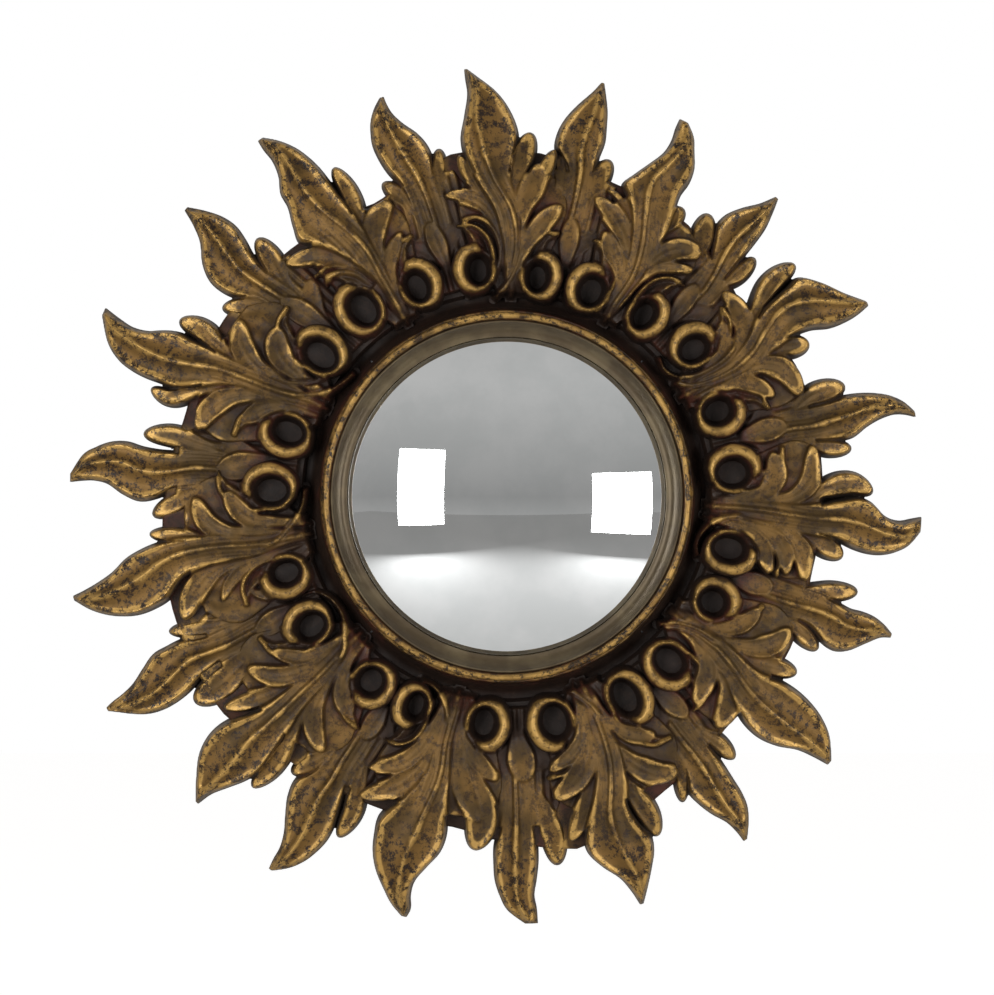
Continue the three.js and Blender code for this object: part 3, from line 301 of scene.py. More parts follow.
BACK_LEAVES: tuple[BackLeaf, ...] = (
    BackLeaf(
        blade=(
            (182, 11, 16, 13), (200, 10.8, 15.8, 13), (212, 10, 15.6, 12.8), (225, 7.8, 15.4, 12.2),
            (235, 7.9, 15.6, 12.3), (245, 8.8, 15.2, 12.7), (255, 10.3, 14.7, 12.9),
            (265, 12, 13.9, 13), (272, 12.9, 13.3, 13.1),
        ),
        lobes=((7.5, 14.8, 193, 16, 208, 17.1, 225.5), (5.5, 10.9, 193, 9.8, 207, 8.5, 222),),
        hood=(9, 14.3, 138, 14.2, 160, 13.3, 183),
    ),
    BackLeaf(
        blade=(
            (183, 41.2, 46, 43.8), (195, 40.6, 45.6, 43), (207, 39, 45.2, 42), (218, 37.6, 44.8, 41.6),
            (228, 37.8, 44.5, 41.8), (238, 39.1, 44.1, 42.1), (248, 40.8, 43.3, 42.2),
            (258, 41.9, 42.4, 42.2),
        ),
        lobes=((8.5, 39.8, 188, 37.6, 203, 35.4, 222.5), (6.5, 45.2, 186, 46.2, 202, 46.2, 220.5),),
        hood=(9, 43.6, 138, 42.8, 160, 41.9, 182),
    ),
    BackLeaf(
        blade=(
            (186, 73, 79.6, 76.6), (200, 73, 80.3, 77), (213, 73.2, 80.6, 76.8),
            (225, 73.2, 80.4, 76.6), (235, 73.6, 79.1, 76.3), (245, 74.3, 78.3, 76.4),
            (255, 75.4, 78.1, 76.9), (262, 76.7, 78.5, 77.7), (267, 78.2, 79, 78.7),
        ),
        lobes=((8.5, 73.8, 188, 71.8, 204, 71.9, 228), (6.5, 79.4, 190, 81.2, 205, 82.1, 223),),
        hood=(11, 75.5, 142, 76, 162, 75.6, 184.5),
    ),
    BackLeaf(
        blade=(
            (184, 107.5, 113.5, 110.8), (198, 106.9, 113.5, 110.5), (210, 106.8, 113.6, 110.2),
            (222, 107.5, 115, 110.3), (232, 108, 115.3, 110.8), (240, 107.9, 114.3, 110.6),
            (248, 108.1, 112.4, 110.1), (256, 108.8, 110.7, 109.9), (262, 109.6, 110.2, 109.9),
        ),
        lobes=((7, 107.6, 193, 106.7, 210, 105.2, 233), (7, 112.8, 188, 114.5, 204, 116.3, 222),),
        hood=(10.5, 109.8, 140, 110, 160, 109, 180),
    ),
    BackLeaf(
        blade=(
            (185, 140.8, 147.5, 144.4), (198, 140.6, 147.2, 144.2), (210, 140.6, 147.6, 144.1),
            (222, 140.9, 148.6, 144.3), (232, 141.2, 148.1, 144.5), (242, 141.5, 147.2, 144.6),
            (252, 142.2, 146, 144.5), (260, 143.4, 145.6, 144.7), (268, 144.9, 145.5, 145.2),
        ),
        lobes=((6.5, 141.2, 188, 139.5, 204, 139, 222.5), (5.5, 146, 190, 147.6, 207, 150.1, 226),),
        hood=(10, 142.6, 138, 142.3, 160, 140.6, 182),
    ),
    BackLeaf(
        blade=(
            (184, 175.2, 180.8, 178.3), (198, 175, 181, 178.3), (212, 174.8, 181.6, 178.4),
            (225, 174.8, 182.2, 178.6), (235, 175, 182.1, 178.7), (246, 175.5, 181.8, 178.7),
            (256, 176, 181, 178.5), (265, 175.8, 179.9, 177.8), (274, 175.8, 177.5, 176.6),
        ),
        lobes=(
            (9, 174.8, 186, 173.3, 202, 172.2, 219, 172.1, 238.5), (5, 181, 190, 182, 205, 182.5, 220),
        ),
        hood=(12.5, 177.5, 138, 177.8, 160, 176.3, 182.5),
    ),
    BackLeaf(
        blade=(
            (184, 208.6, 215, 211.8), (198, 208.6, 214.8, 211.9), (212, 208.5, 215.5, 211.7),
            (225, 208, 216.9, 211.9), (237, 207.5, 216.3, 211.6), (248, 207.5, 214.9, 211.2),
            (258, 208.1, 213.6, 211.2), (268, 209.1, 212.9, 211.4), (276, 210.4, 212.8, 211.8),
            (283, 212.1, 212.6, 212.4),
        ),
        lobes=(
            (7.5, 208.2, 188, 207.3, 206, 206, 224, 206.3, 243.5),
            (7, 214.2, 193, 215.8, 207, 217.9, 224.5),
        ),
        hood=(9.5, 210, 140, 210.8, 160, 210.5, 180),
    ),
    BackLeaf(
        blade=(
            (186, 239.8, 245, 242), (200, 239.8, 245.2, 241.9), (213, 239.6, 245.6, 242.3),
            (226, 239.2, 246.4, 242.7), (238, 238.3, 246.3, 242), (248, 238, 246, 241.3),
            (258, 238.1, 244.7, 240.9), (268, 238.7, 243.4, 240.9), (277, 239.8, 242.8, 241.1),
            (285, 241, 242.5, 241.6), (290, 241.7, 242.2, 241.9),
        ),
        lobes=(
            (11, 239.2, 184, 237.6, 200, 236.7, 216, 236.6, 239.5),
            (6.5, 245.2, 182, 245.8, 199, 246.9, 215, 248.2, 233),
        ),
        hood=(11, 242.3, 140, 242.3, 160, 241.3, 182),
    ),
    BackLeaf(
        blade=(
            (188, 272.6, 278.4, 275.4), (200, 271.8, 278.2, 275.2), (212, 271, 278, 274.4),
            (224, 269.6, 277.8, 274), (235, 269.2, 277.9, 274.2), (246, 270.3, 278.3, 275.1),
            (256, 271.8, 277.9, 275), (265, 272.2, 276.9, 274.6), (273, 272.1, 275.6, 273.8),
            (280, 271.9, 273, 272.4),
        ),
        lobes=(
            (7.5, 272.4, 188, 270, 203, 266.9, 227),
            (8, 279.1, 183, 279.6, 200, 280.3, 216, 279.8, 236),
        ),
        hood=(12.5, 279.5, 140, 278.3, 160, 275, 186),
    ),
    BackLeaf(
        blade=(
            (188, 309.2, 314.5, 311.5), (200, 308.4, 313.8, 311), (212, 306.4, 313.6, 310.6),
            (224, 305.6, 313.8, 310.5), (235, 305.9, 314.6, 311), (245, 307.3, 315, 311.5),
            (255, 309.6, 314.6, 311.9), (265, 310.8, 313.6, 312.1), (276, 311.6, 312.2, 311.9),
        ),
        lobes=(
            (7, 309.3, 184, 307.2, 200, 303.5, 218.5),
            (8.5, 313.6, 183, 314, 199, 315.2, 213, 316, 230),
        ),
        hood=(11, 313.4, 140, 313.2, 162, 311, 191),
    ),
    BackLeaf(
        blade=(
            (182, 342, 348, 345.4), (200, 341.5, 347.8, 345), (212, 340.6, 347.8, 344.4),
            (222, 339.6, 347.8, 343.6), (232, 339.1, 347.2, 343), (240, 339, 346.1, 342.6),
            (248, 339.4, 344.5, 342.3), (256, 340.1, 343.4, 342.1), (263, 341.2, 343, 342.2),
            (268, 342.3, 342.9, 342.6),
        ),
        lobes=((6.5, 341.6, 186, 341, 200, 338.4, 216), (6, 346.8, 193, 348, 208, 349, 227),),
        hood=(9, 345.8, 138, 345.4, 160, 344, 182),
    ),
)

# Where the web shows between two leaves, as (bearing, distance) of its edge.
WEB_NOTCHES: tuple[tuple[float, float], ...] = (
    (5.6, 220), (19.2, 211), (33, 209), (48.8, 195), (66.5, 203), (84, 202), (104, 200.5), (119, 205.5),
    (136, 203), (152.4, 213.5), (168.4, 229.5), (188.6, 213.5), (203, 215), (218.8, 218), (233, 228),
    (251.5, 225), (265.3, 220.5), (284, 211.5), (301.2, 213), (319, 209.5), (336.5, 205), (351, 221.5),
)


# ---- carving -----------------------------------------------------------------------------------


def smoothstep(x: Any) -> Any:
    """0 below 0, 1 above 1 and a smooth rise between."""
    x = np.clip(x, 0.0, 1.0)
    return x * x * (3 - 2 * x)


def mix(a: Any, b: Any, share: Any) -> Any:
    """The value a share of the way from a to b."""
    return a + (b - a) * share


def polar(bearing: Any, distance: Any) -> np.ndarray:
    """(across, up) of a bearing in degrees and a distance."""
    a = np.radians(bearing)
    return np.stack([distance * np.sin(a), distance * np.cos(a)], axis=-1)


def through(stations: np.ndarray, values: np.ndarray, where: Any) -> Any:
    """A smooth curve through values at rising stations, held at its ends.

    Args:
        stations: where the values are given, rising.
        values: one value for each station.
        where: the places to read.

    Returns:
        The value at each place.
    """
    slopes = np.gradient(values, stations)
    i = np.clip(np.searchsorted(stations, where) - 1, 0, len(stations) - 2)
    h = stations[i + 1] - stations[i]
    t = np.clip((where - stations[i]) / h, 0.0, 1.0)
    ahead = 3 * t**2 - 2 * t**3
    lean = (t**3 - 2 * t**2 + t) * slopes[i] + (t**3 - t**2) * slopes[i + 1]
    return mix(values[i], values[i + 1], ahead) + h * lean


def smoothed(values: np.ndarray, sigma: float) -> np.ndarray:
    """A raster blurred by a bell of a width in cells.

    Args:
        values: the raster.
        sigma: the bell's width in cells.

    Returns:
        The blurred raster.
    """
    reach = int(3 * sigma + 1)
    weights = np.exp(-0.5 * (np.arange(-reach, reach + 1) / sigma) ** 2)
    weights /= weights.sum()
    for axis in (0, 1):
        count = values.shape[axis]
        padded = np.pad(values, [(reach, reach) if i == axis else (0, 0) for i in (0, 1)], mode="edge")
        values = sum(w * np.take(padded, range(i, i + count), axis) for i, w in enumerate(weights))
    return values


@dataclass
class Line:
    """A smooth line as a polyline, with the length along it at each of its points."""

    points: np.ndarray
    along: np.ndarray
    length: float

    @classmethod
    def through(cls, knots: np.ndarray, beyond: float = 8.0, count: int = 40) -> "Line":
        """A line through knots in mm, with a straight bit beyond each end.

        Args:
            knots: rows of across and up in mm.
            beyond: the length of each straight bit.
            count: points along the smooth part.

        Returns:
            The line.
        """
        steps = np.sqrt(np.hypot(*np.diff(knots, axis=0).T))
        at = np.concatenate([[0], np.cumsum(steps)])
        where = np.linspace(0, at[-1], count)
        points = np.stack([through(at, knots[:, i], where) for i in (0, 1)], axis=-1)
        along = np.concatenate([[0], np.cumsum(np.hypot(*np.diff(points, axis=0).T))])
        first, last = points[0] - points[1], points[-1] - points[-2]
        tail = points[0] + first / np.hypot(*first) * beyond
        head = points[-1] + last / np.hypot(*last) * beyond
        length = along[-1]
        along = np.concatenate([[-beyond], along, [length + beyond]])
        return cls(np.concatenate([[tail], points, [head]]), along, length)

    @classmethod
    def read(cls, numbers: Numbers, beyond: float = 8.0) -> "Line":
        """A line through points given as bearing and distance in turn."""
        return cls.through(polar(np.array(numbers[0::2]), np.array(numbers[1::2])), beyond)

    def at(self, share: float) -> np.ndarray:
        """The point a share of the way along."""
        where = share * self.length
        return np.array([np.interp(where, self.along, self.points[:, i]) for i in (0, 1)])

    def nearest(self, across: np.ndarray, up: np.ndarray) -> tuple[np.ndarray, np.ndarray]:
        """How far along each place lies, and how far to the right of the line (left is negative).

        Args:
            across: the places' across, in mm.
            up: the places' up, in mm.

        Returns:
            The length along the line and the offset from it, for each place.
        """
        start = self.points[:-1]
        step = np.diff(self.points, axis=0)
        size = np.hypot(step[:, 0], step[:, 1])
        place = np.stack([across, up], axis=-1)[..., None, :]
        t = np.clip(((place - start) * step).sum(-1) / size**2, 0, 1)
        gap = place - (start + t[..., None] * step)
        near = np.hypot(gap[..., 0], gap[..., 1]).argmin(-1)[..., None]
        gap = np.take_along_axis(gap, near[..., None], -2)[..., 0, :]
        t = np.take_along_axis(t, near, -1)[..., 0]
        near = near[..., 0]
        side = gap[..., 0] * step[near, 1] - gap[..., 1] * step[near, 0]
        away = np.hypot(gap[..., 0], gap[..., 1])
        return self.along[near] + t * size[near], np.where(side >= 0, away, -away)


@dataclass
class Relief:
    """A raster of rise, with how far each cell lies inside the outline; all in mm."""

    across: np.ndarray
    up: np.ndarray
    pitch: float
    rise: np.ndarray
    edge: np.ndarray

    @classmethod
    def over(cls, low: Numbers, high: Numbers, pitch: float, ground: float) -> "Relief":
        """A level raster between two corners.

        Args:
            low: the lower left corner.
            high: the upper right corner.
            pitch: the size of a cell.
            ground: the rise to start with.

        Returns:
            The raster.
        """
        across, up = np.meshgrid(
            np.arange(low[0], high[0] + pitch, pitch), np.arange(low[1], high[1] + pitch, pitch)
        )
        return cls(across, up, pitch, np.full(across.shape, ground), np.full(across.shape, -9.0))

    def window(self, points: np.ndarray, margin: float) -> tuple[slice, slice]:
        """The rows and columns within a margin of some points.

        Args:
            points: rows of across and up.
            margin: the margin round them.

        Returns:
            The rows and the columns, as slices.
        """
        start = np.array([self.across[0, 0], self.up[0, 0]])
        low = np.maximum(((points.min(0) - margin - start) / self.pitch).astype(int), 0)
        high = np.maximum(((points.max(0) + margin - start) / self.pitch).astype(int) + 2, 0)
        return slice(low[1], high[1]), slice(low[0], high[0])

    def lay(self, view: Any, edge: np.ndarray, rise: np.ndarray, roll: float, fade: Any = 1.0) -> None:
        """Lays a form over a view: fully where it lies more than a roll inside its own edge.

        Args:
            view: the rows and columns.
            edge: how far each cell lies inside the form.
            rise: the form's rise.
            roll: the width over which it takes over.
            fade: a further share that it has.
        """
        share = smoothstep(edge / roll) * fade
        self.rise[view] += (rise - self.rise[view]) * share
        self.edge[view] = np.maximum(self.edge[view], edge)

    def sample(self, values: np.ndarray, across: np.ndarray, up: np.ndarray) -> np.ndarray:
        """A value between the cells, at places in mm.

        Args:
            values: the raster to read.
            across: the places' across.
            up: the places' up.

        Returns:
            The value at each place.
        """
        rows, columns = values.shape
        x = np.clip((across - self.across[0, 0]) / self.pitch, 0, columns - 1.001)
        z = np.clip((up - self.up[0, 0]) / self.pitch, 0, rows - 1.001)
        i, k = z.astype(int), x.astype(int)
        lower = mix(values[i, k], values[i, k + 1], x - k)
        upper = mix(values[i + 1, k], values[i + 1, k + 1], x - k)
        return mix(lower, upper, z - i)


@dataclass(frozen=True)
class Carving:
    """How the carved forms rise and are hollowed; sizes in mm."""

    front_relief: float = 36.5
    back_relief: float = 23.5
    hood_relief: float = 26.0
    scroll_relief: float = 36.5
    scroll_depth: float = 21.0
    web_relief: float = 16.0
    gutter_floor: float = 9.0
    bead_relief: float = 32.0
    blade_dish: float = 3.4
    lobe_dish: float = 4.2
    lobe_set_back: float = 5.5
    lobe_layer: float = 1.4
    hood_dish: float = 3.2
    lobe_droop: float = 5.5
    body_set_back: float = 7.0
    pitch: float = 0.5
    # share of the length, share of the width, degrees turned about the root, and step up
    hood_leaflets: tuple[Numbers, ...] = ((0.95, 0.7, -34, 0.0), (0.95, 0.7, 34, 0.0), (1.0, 0.78, 0, 2.8))

    # across and up the hollow over a scroll, as shares of the scroll's half sizes
    comma_path: tuple[Numbers, ...] = ((-1.02, 0), (-1.12, 0.9), (-0.8, 1.8), (0, 2.4), (1, 2.5))

    def bow(self, distance: Any) -> Any:
        """The share of its full rise that a leaf has: it swells from its root and its tip curls back.

        Args:
            distance: from the centre of the glass.

        Returns:
            The share.
        """
        swell = np.interp(distance, (123, 131, 139, 175), (0.36, 0.7, 0.85, 1.0))
        curl = np.clip((distance - 195) / 95, 0, 1)
        return swell * (1 - 0.58 * curl**2)

    def spans(self, relief: Relief, rows: np.ndarray) -> tuple[np.ndarray, ...]:
        """The distance, and in mm how far right of the left edge, the midrib and the right edge.

        Args:
            relief: the raster.
            rows: as a blade's rows in Spray.

        Returns:
            Four rasters, in that order.
        """
        middle = rows[:, 1:3].mean()
        distance = np.hypot(relief.across, relief.up)
        bearing = np.degrees(np.arctan2(relief.across, relief.up))
        bearing = (bearing - middle + 180) % 360 - 180 + middle
        scale = np.radians(1) * distance
        left, right, rib = ((bearing - through(rows[:, 0], rows[:, i], distance)) * scale for i in (1, 2, 3))
        return distance, left, rib, right

    def blade(self, relief: Relief, rows: tuple[Numbers, ...], crown: float, root: float) -> None:
        """Carves a blade: two dished halves that meet in a rib, with a double line up its stem.

        Args:
            relief: the raster to carve.
            rows: as in Spray.
            crown: its full rise.
            root: the distance at which it starts.
        """
        rows = np.array(rows, float)
        distance, left, rib, right = self.spans(relief, rows)
        lean = [np.gradient(side, relief.pitch) for side in (left, right)]
        left, right = (
            side / np.maximum(np.hypot(*slope), 0.5) for side, slope in zip((left, -right), lean)
        )
        edge = np.minimum(np.minimum(left, right), distance - root)
        edge = np.minimum(edge, rows[-1, 0] - distance)
        width = np.maximum(left + right, 1.0)
        half = np.maximum(np.where(rib < 0, left + abs(rib), right + abs(rib)), 0.8)
        s = np.clip(abs(rib) / half, 0, 1)
        tip = smoothstep((distance - 195) / 25)
        broad = np.clip(width / 14, 0, 1)
        hollow = np.sin(np.pi * np.clip(s / 0.86, 0, 1)) ** 0.9
        fall = mix(2.0, 3.4, tip) * broad * s**1.5
        rise = crown * self.bow(distance) - self.blade_dish * broad * mix(0.5, 1.0, tip) * hollow - fall
        stem = 1 - smoothstep((distance - 205) / 35)
        rise += 1.1 * stem * np.exp(-(((abs(rib) - 1.3) / 0.6) ** 2))
        rise += 0.4 * (1 - smoothstep((distance - 180) / 40)) * np.cos(2 * np.pi * rib / 3.6)
        rise -= mix(1.0, 5.0, tip) * np.clip(1 - edge / 3.2, 0, 1) ** 1.5
        relief.lay(np.s_[:, :], edge, rise, 1.2)

    def lobe(self, relief: Relief, entry: Numbers, crown: float, dish: float, root: float = 0.0) -> None:
        """Carves a lobe like the bowl of a spoon, whose handle runs back into the stem.

        Args:
            relief: the raster to carve.
            entry: as in Spray.
            crown: its rise at the root.
            dish: the depth of its bowl; a negative one makes a dome.
            root: the length of the handle before the first point; not used.
        """
        line = Line.read(entry[1:])
        half = entry[0]
        view = relief.window(line.points, half + 4)
        across, up = relief.across[view], relief.up[view]
        along, offset = line.nearest(across, up)
        share = along / line.length
        widest = 0.58
        swell = mix(0.5, 1.0, smoothstep(np.clip(share / widest, 0, 1)))
        reach = (1 - widest) * line.length
        x = (along - widest * line.length) / reach
        r = np.hypot(x, offset / half)
        end = (1 - r) * r / np.maximum(np.hypot(x / reach, offset / half**2), 1e-6)
        past = share > widest
        edge = np.where(past, end, half * swell - abs(offset))
        edge = np.minimum(edge, along + 3)
        rho = np.clip(np.where(past, r, abs(offset) / (half * swell)), 0, 1)
        s = np.clip(share, 0, 1)
        rise = crown * self.bow(np.hypot(across, up)) - self.lobe_droop * s**2
        rise -= dish * mix(0.4, 1.0, s) * (1 - rho**2.6)
        rise += 0.7 * np.exp(-((offset / 1.1) ** 2)) * (1 - s)
        rise -= 1.8 * np.clip(1 - edge / 1.8, 0, 1) ** 2
        relief.lay(view, edge, rise, 1.4, smoothstep((along + 1) / 9))

    def flute(self, relief: Relief, entry: Numbers, stem: float, crown: float) -> None:
        """Carves the handle of a lobe: a soft roll from the foot of the stem up to its root.

        Args:
            relief: the raster to carve.
            entry: the lobe, as in Spray.
            stem: the bearing of the stem.
            crown: its full rise.
        """
        bearing, distance = entry[1:3]
        foot = mix(stem, bearing, 0.25)
        knots = np.stack([
            polar(foot, max(130.0, distance - 44)),
            polar(mix(stem, bearing, 0.6), distance - 20),
            polar(bearing, distance),
            polar(*entry[3:5]),
        ])
        line = Line.through(knots, 2.0)
        view = relief.window(line.points, 12)
        across, up = relief.across[view], relief.up[view]
        along, offset = line.nearest(across, up)
        s = np.clip(along / line.length, 0, 1)
        half = entry[0] * mix(0.3, 0.75, s)
        rho = np.clip(abs(offset) / half, 0, 1)
        groove = np.exp(-((offset / 1.2) ** 2)) * s
        rise = crown * self.bow(np.hypot(across, up)) - 2.6 * rho**2 - 1.6 * groove
        edge = np.minimum(half - abs(offset), along + 1)
        relief.lay(view, edge, rise, 1.2, smoothstep(along / 10) * smoothstep((1.02 - s) / 0.25))

    def ridge(self, relief: Relief, entry: Numbers, crown: float, fall: float) -> None:
        """Carves a thin roll along a line, falling as it goes.

        Args:
            relief: the raster to carve.
            entry: as in Spray.
            crown: its rise at its start.
            fall: how far it falls to its end.
        """
        line = Line.read(entry[1:], 2.0)
        half = entry[0]
        view = relief.window(line.points, half + 4)
        along, offset = line.nearest(relief.across[view], relief.up[view])
        share = np.clip(along / line.length, 0, 1)
        edge = np.minimum(half - abs(offset), np.minimum(along, line.length - along) + 1)
        rise = crown - fall * share - 2.0 * np.clip(abs(offset) / half, 0, 1) ** 2
        relief.lay(view, edge + 1.0, rise, 1.4, smoothstep(along / 8))

    def body(self, relief: Relief, spray: Spray, stem: float, reach: float) -> None:
        """Carves the flesh of the leaf between and over its scrolls, fluted like a fan.

        Args:
            relief: the raster to carve.
            spray: the spray; not used.
            stem: the bearing of its stem.
            reach: the mean number of degrees from the stem to a scroll.
        """
        stations = ((127, 0.55), (140, 0.9), (157, 1.3), (172, 1.45), (187, 1.5), (197, 1.35), (207, 1.0))
        rows = np.array([(d, stem - reach * k, stem + reach * k, stem) for d, k in stations])
        distance, left, rib, right = self.spans(relief, rows)
        edge = np.minimum(np.minimum(left, -right), np.minimum(distance - 127, 208 - distance))
        half = np.maximum((left - right) / 2, 1.0)
        u = np.clip(rib / half, -1, 1)
        crown = (self.front_relief - self.body_set_back) * self.bow(distance)
        rise = mix(crown, self.back_relief, smoothstep(abs(u) * 1.1))
        rise -= 4.0 * smoothstep((distance - 185) / 20)
        rise += 0.8 * np.cos(9 * np.pi * u) * (1 - abs(u))
        relief.lay(np.s_[:, :], np.minimum(edge, self.inside(relief)), rise, 3.0)

    def inside(self, relief: Relief) -> np.ndarray:
        """How far each cell lies inside the outline of the web.

        Args:
            relief: the raster.

        Returns:
            The raster of that, below 0 outside.
        """
        turns, reach = np.array(WEB_NOTCHES).T
        bearing = np.degrees(np.arctan2(relief.across, relief.up))
        return np.interp(bearing, turns, reach, period=360) - np.hypot(relief.across, relief.up)

    def around(self, relief: Relief, entry: Numbers, away: float, margin: float) -> tuple[Any, ...]:
        """A view round a scroll, and there the place across it (away from the stem) and up it.

        Args:
            relief: the raster.
            entry: the scroll, as in Spray.
            away: 1 or -1, by the side of the stem that it is on.
            margin: how far the view reaches round its centre.

        Returns:
            The view, the place across and the place up.
        """
        centre = polar(*entry[:2])
        view = relief.window(centre[None], margin)
        gap = np.stack([relief.across[view] - centre[0], relief.up[view] - centre[1]], axis=-1)
        return view, gap @ (polar(entry[0] + 90, 1.0) * away), gap @ polar(entry[0], 1.0)

    def comma(self, relief: Relief, entry: Numbers, away: float) -> None:
        """Carves the hollow over a scroll: the rim on its stem side runs on up and curls over it.

        Args:
            relief: the raster to carve.
            entry: the scroll, as in Spray.
            away: as in around.
        """
        a, b = entry[2:]
        view, x, y = self.around(relief, entry, away, 3.4 * b)
        line = Line.through(np.array(self.comma_path) * (a, b), 3.0)
        along, offset = line.nearest(x, y)
        s = np.clip(along / line.length, 0, 1)
        width = through(np.array([0, 0.3, 0.7, 1]), np.array([3.0, 10.0, 9.0, 2.0]), s)
        depth = through(np.array([0, 0.25, 0.6, 1]), np.array([6.0, 11.0, 8.0, 3.0]), s)
        under = np.clip(offset / width, 0, 1)
        crown = self.scroll_relief - mix(1.0, 6.0, s)
        rise = crown - depth * (1 - smoothstep(under) * 0.75) * smoothstep(offset / 2.2)
        ends = np.minimum(along, line.length - along)
        edge = np.minimum(np.minimum(width - offset, offset + 1.2), ends + 2)
        relief.lay(view, edge, rise, 2.0, smoothstep(along / 6))
        rim = np.minimum(1.3 - abs(offset), ends + 1)
        relief.lay(view, rim + 0.8, crown + 0.8 - 1.2 * np.clip(abs(offset) / 1.3, 0, 1) ** 2, 1.4)

    def scroll(self, relief: Relief, entry: Numbers, away: float) -> None:
        """Carves a scroll: a deep cup with a thin rim by the stem and a thick crescent away from it.

        Args:
            relief: the raster to carve.
            entry: as in Spray.
            away: as in around.
        """
        a, b = entry[2:]
        view, x, y = self.around(relief, entry, away, max(a, b) + 12)
        r = np.hypot(x / a, y / b)
        outside = (r - 1) * r / np.maximum(np.hypot(x / a**2, y / b**2), 1e-3)
        turn = np.degrees(np.arctan2(y / b, x / a))
        turns = (-180, -125, -90, -50, 0, 55, 95, 118, 150, 180)
        thick = np.interp(turn, turns, (1.5, 2.2, 3.4, 6.2, 8.0, 7.4, 5.0, 2.2, 1.5, 1.5))
        sunk = np.interp(turn, turns, (0, 0, 0, 0, 0, 0, 0.8, 10, 9, 0))
        q = np.clip(outside / thick, 0, 1)
        crest = 0.3
        inner = 1.4 * ((crest - q) / crest) ** 2
        outer = np.where(thick > 3, 6.0, 1.6) * (abs(q - crest) / (1 - crest)) ** 1.7
        rim = self.scroll_relief - sunk - np.where(q < crest, inner, outer)
        floor = self.scroll_relief - self.scroll_depth
        rise = np.where(outside < 0, mix(rim, floor, smoothstep(-outside / 4.5)), rim)
        rise -= 6.0 * smoothstep((outside - thick) / 1.5)
        relief.lay(view, thick + 1.2 - outside, rise, 1.8)

    def finish(self, relief: Relief) -> Relief:
        """Softens the whole and lets its outline fall away towards the wall.

        Args:
            relief: the carved raster.

        Returns:
            The same raster.
        """
        relief.rise = smoothed(relief.rise, 0.9)
        share = mix(0.3, 1.0, np.sqrt(np.clip(relief.edge / 3.0, 0, 1)))
        inside = np.hypot(relief.across, relief.up) < 190
        relief.rise *= np.where(inside, np.maximum(share, 0.8), share)
        return relief

    def clear_cups(self, relief: Relief) -> None:
        """Lowers a back leaf wherever the cup of a scroll opens over it.

        Args:
            relief: the raster to lower.
        """
        for entry in (scroll for spray in FRONT_SPRAYS for scroll in spray.scrolls):
            a, b = entry[2:]
            view, x, y = self.around(relief, entry, 1.0, 1.5 * max(a, b))
            share = smoothstep((1.3 - np.hypot(x / a, y / b)) / 0.15)
            floor = self.scroll_relief - self.scroll_depth - 3.0
            rise = relief.rise[view]
            relief.rise[view] = mix(rise, np.minimum(rise, floor), share)

    def blank(self, blade: tuple[Numbers, ...], *others: Numbers) -> Relief:
        """A level raster that holds a blade and some lines with a margin.

        Args:
            blade: the rows of a blade.
            others: lines of bearing and distance in turn.

        Returns:
            The raster.
        """
        rows = np.array(blade, float)
        points = [polar(rows[:, i], rows[:, 0]) for i in (1, 2)]
        points += [polar(np.array(entry[0::2]), np.array(entry[1::2])) for entry in others]
        points = np.concatenate(points)
        return Relief.over(points.min(0) - 20, points.max(0) + 20, self.pitch, self.web_relief)

    def front_spray(self, spray: Spray) -> Relief:
        """Carves a front spray: its body, blade, lobes, rolls and scrolls.

        Args:
            spray: the spray.

        Returns:
            Its raster.
        """
        stem = np.mean(spray.blade[0][1:3])
        reach = np.mean([abs(entry[0] - stem) for entry in spray.scrolls])
        lines = [entry[1:] for entry in (*spray.lobes, *spray.ridges)]
        relief = self.blank(spray.blade, *lines, *[entry[:2] for entry in spray.scrolls])
        self.body(relief, spray, stem, reach)
        for entry in spray.scrolls:
            self.comma(relief, entry, math.copysign(1, entry[0] - stem))
        for i, entry in enumerate(spray.lobes):
            crown = self.front_relief - self.lobe_set_back + self.lobe_layer * i
            self.flute(relief, entry, stem, crown)
            self.lobe(relief, entry, crown, self.lobe_dish)
        self.blade(relief, spray.blade, self.front_relief, 124.0)
        for entry in spray.ridges:
            self.ridge(relief, entry, self.scroll_relief - 1.0, 9.0)
        for entry in spray.scrolls:
            self.scroll(relief, entry, math.copysign(1, entry[0] - stem))
        return self.finish(relief)

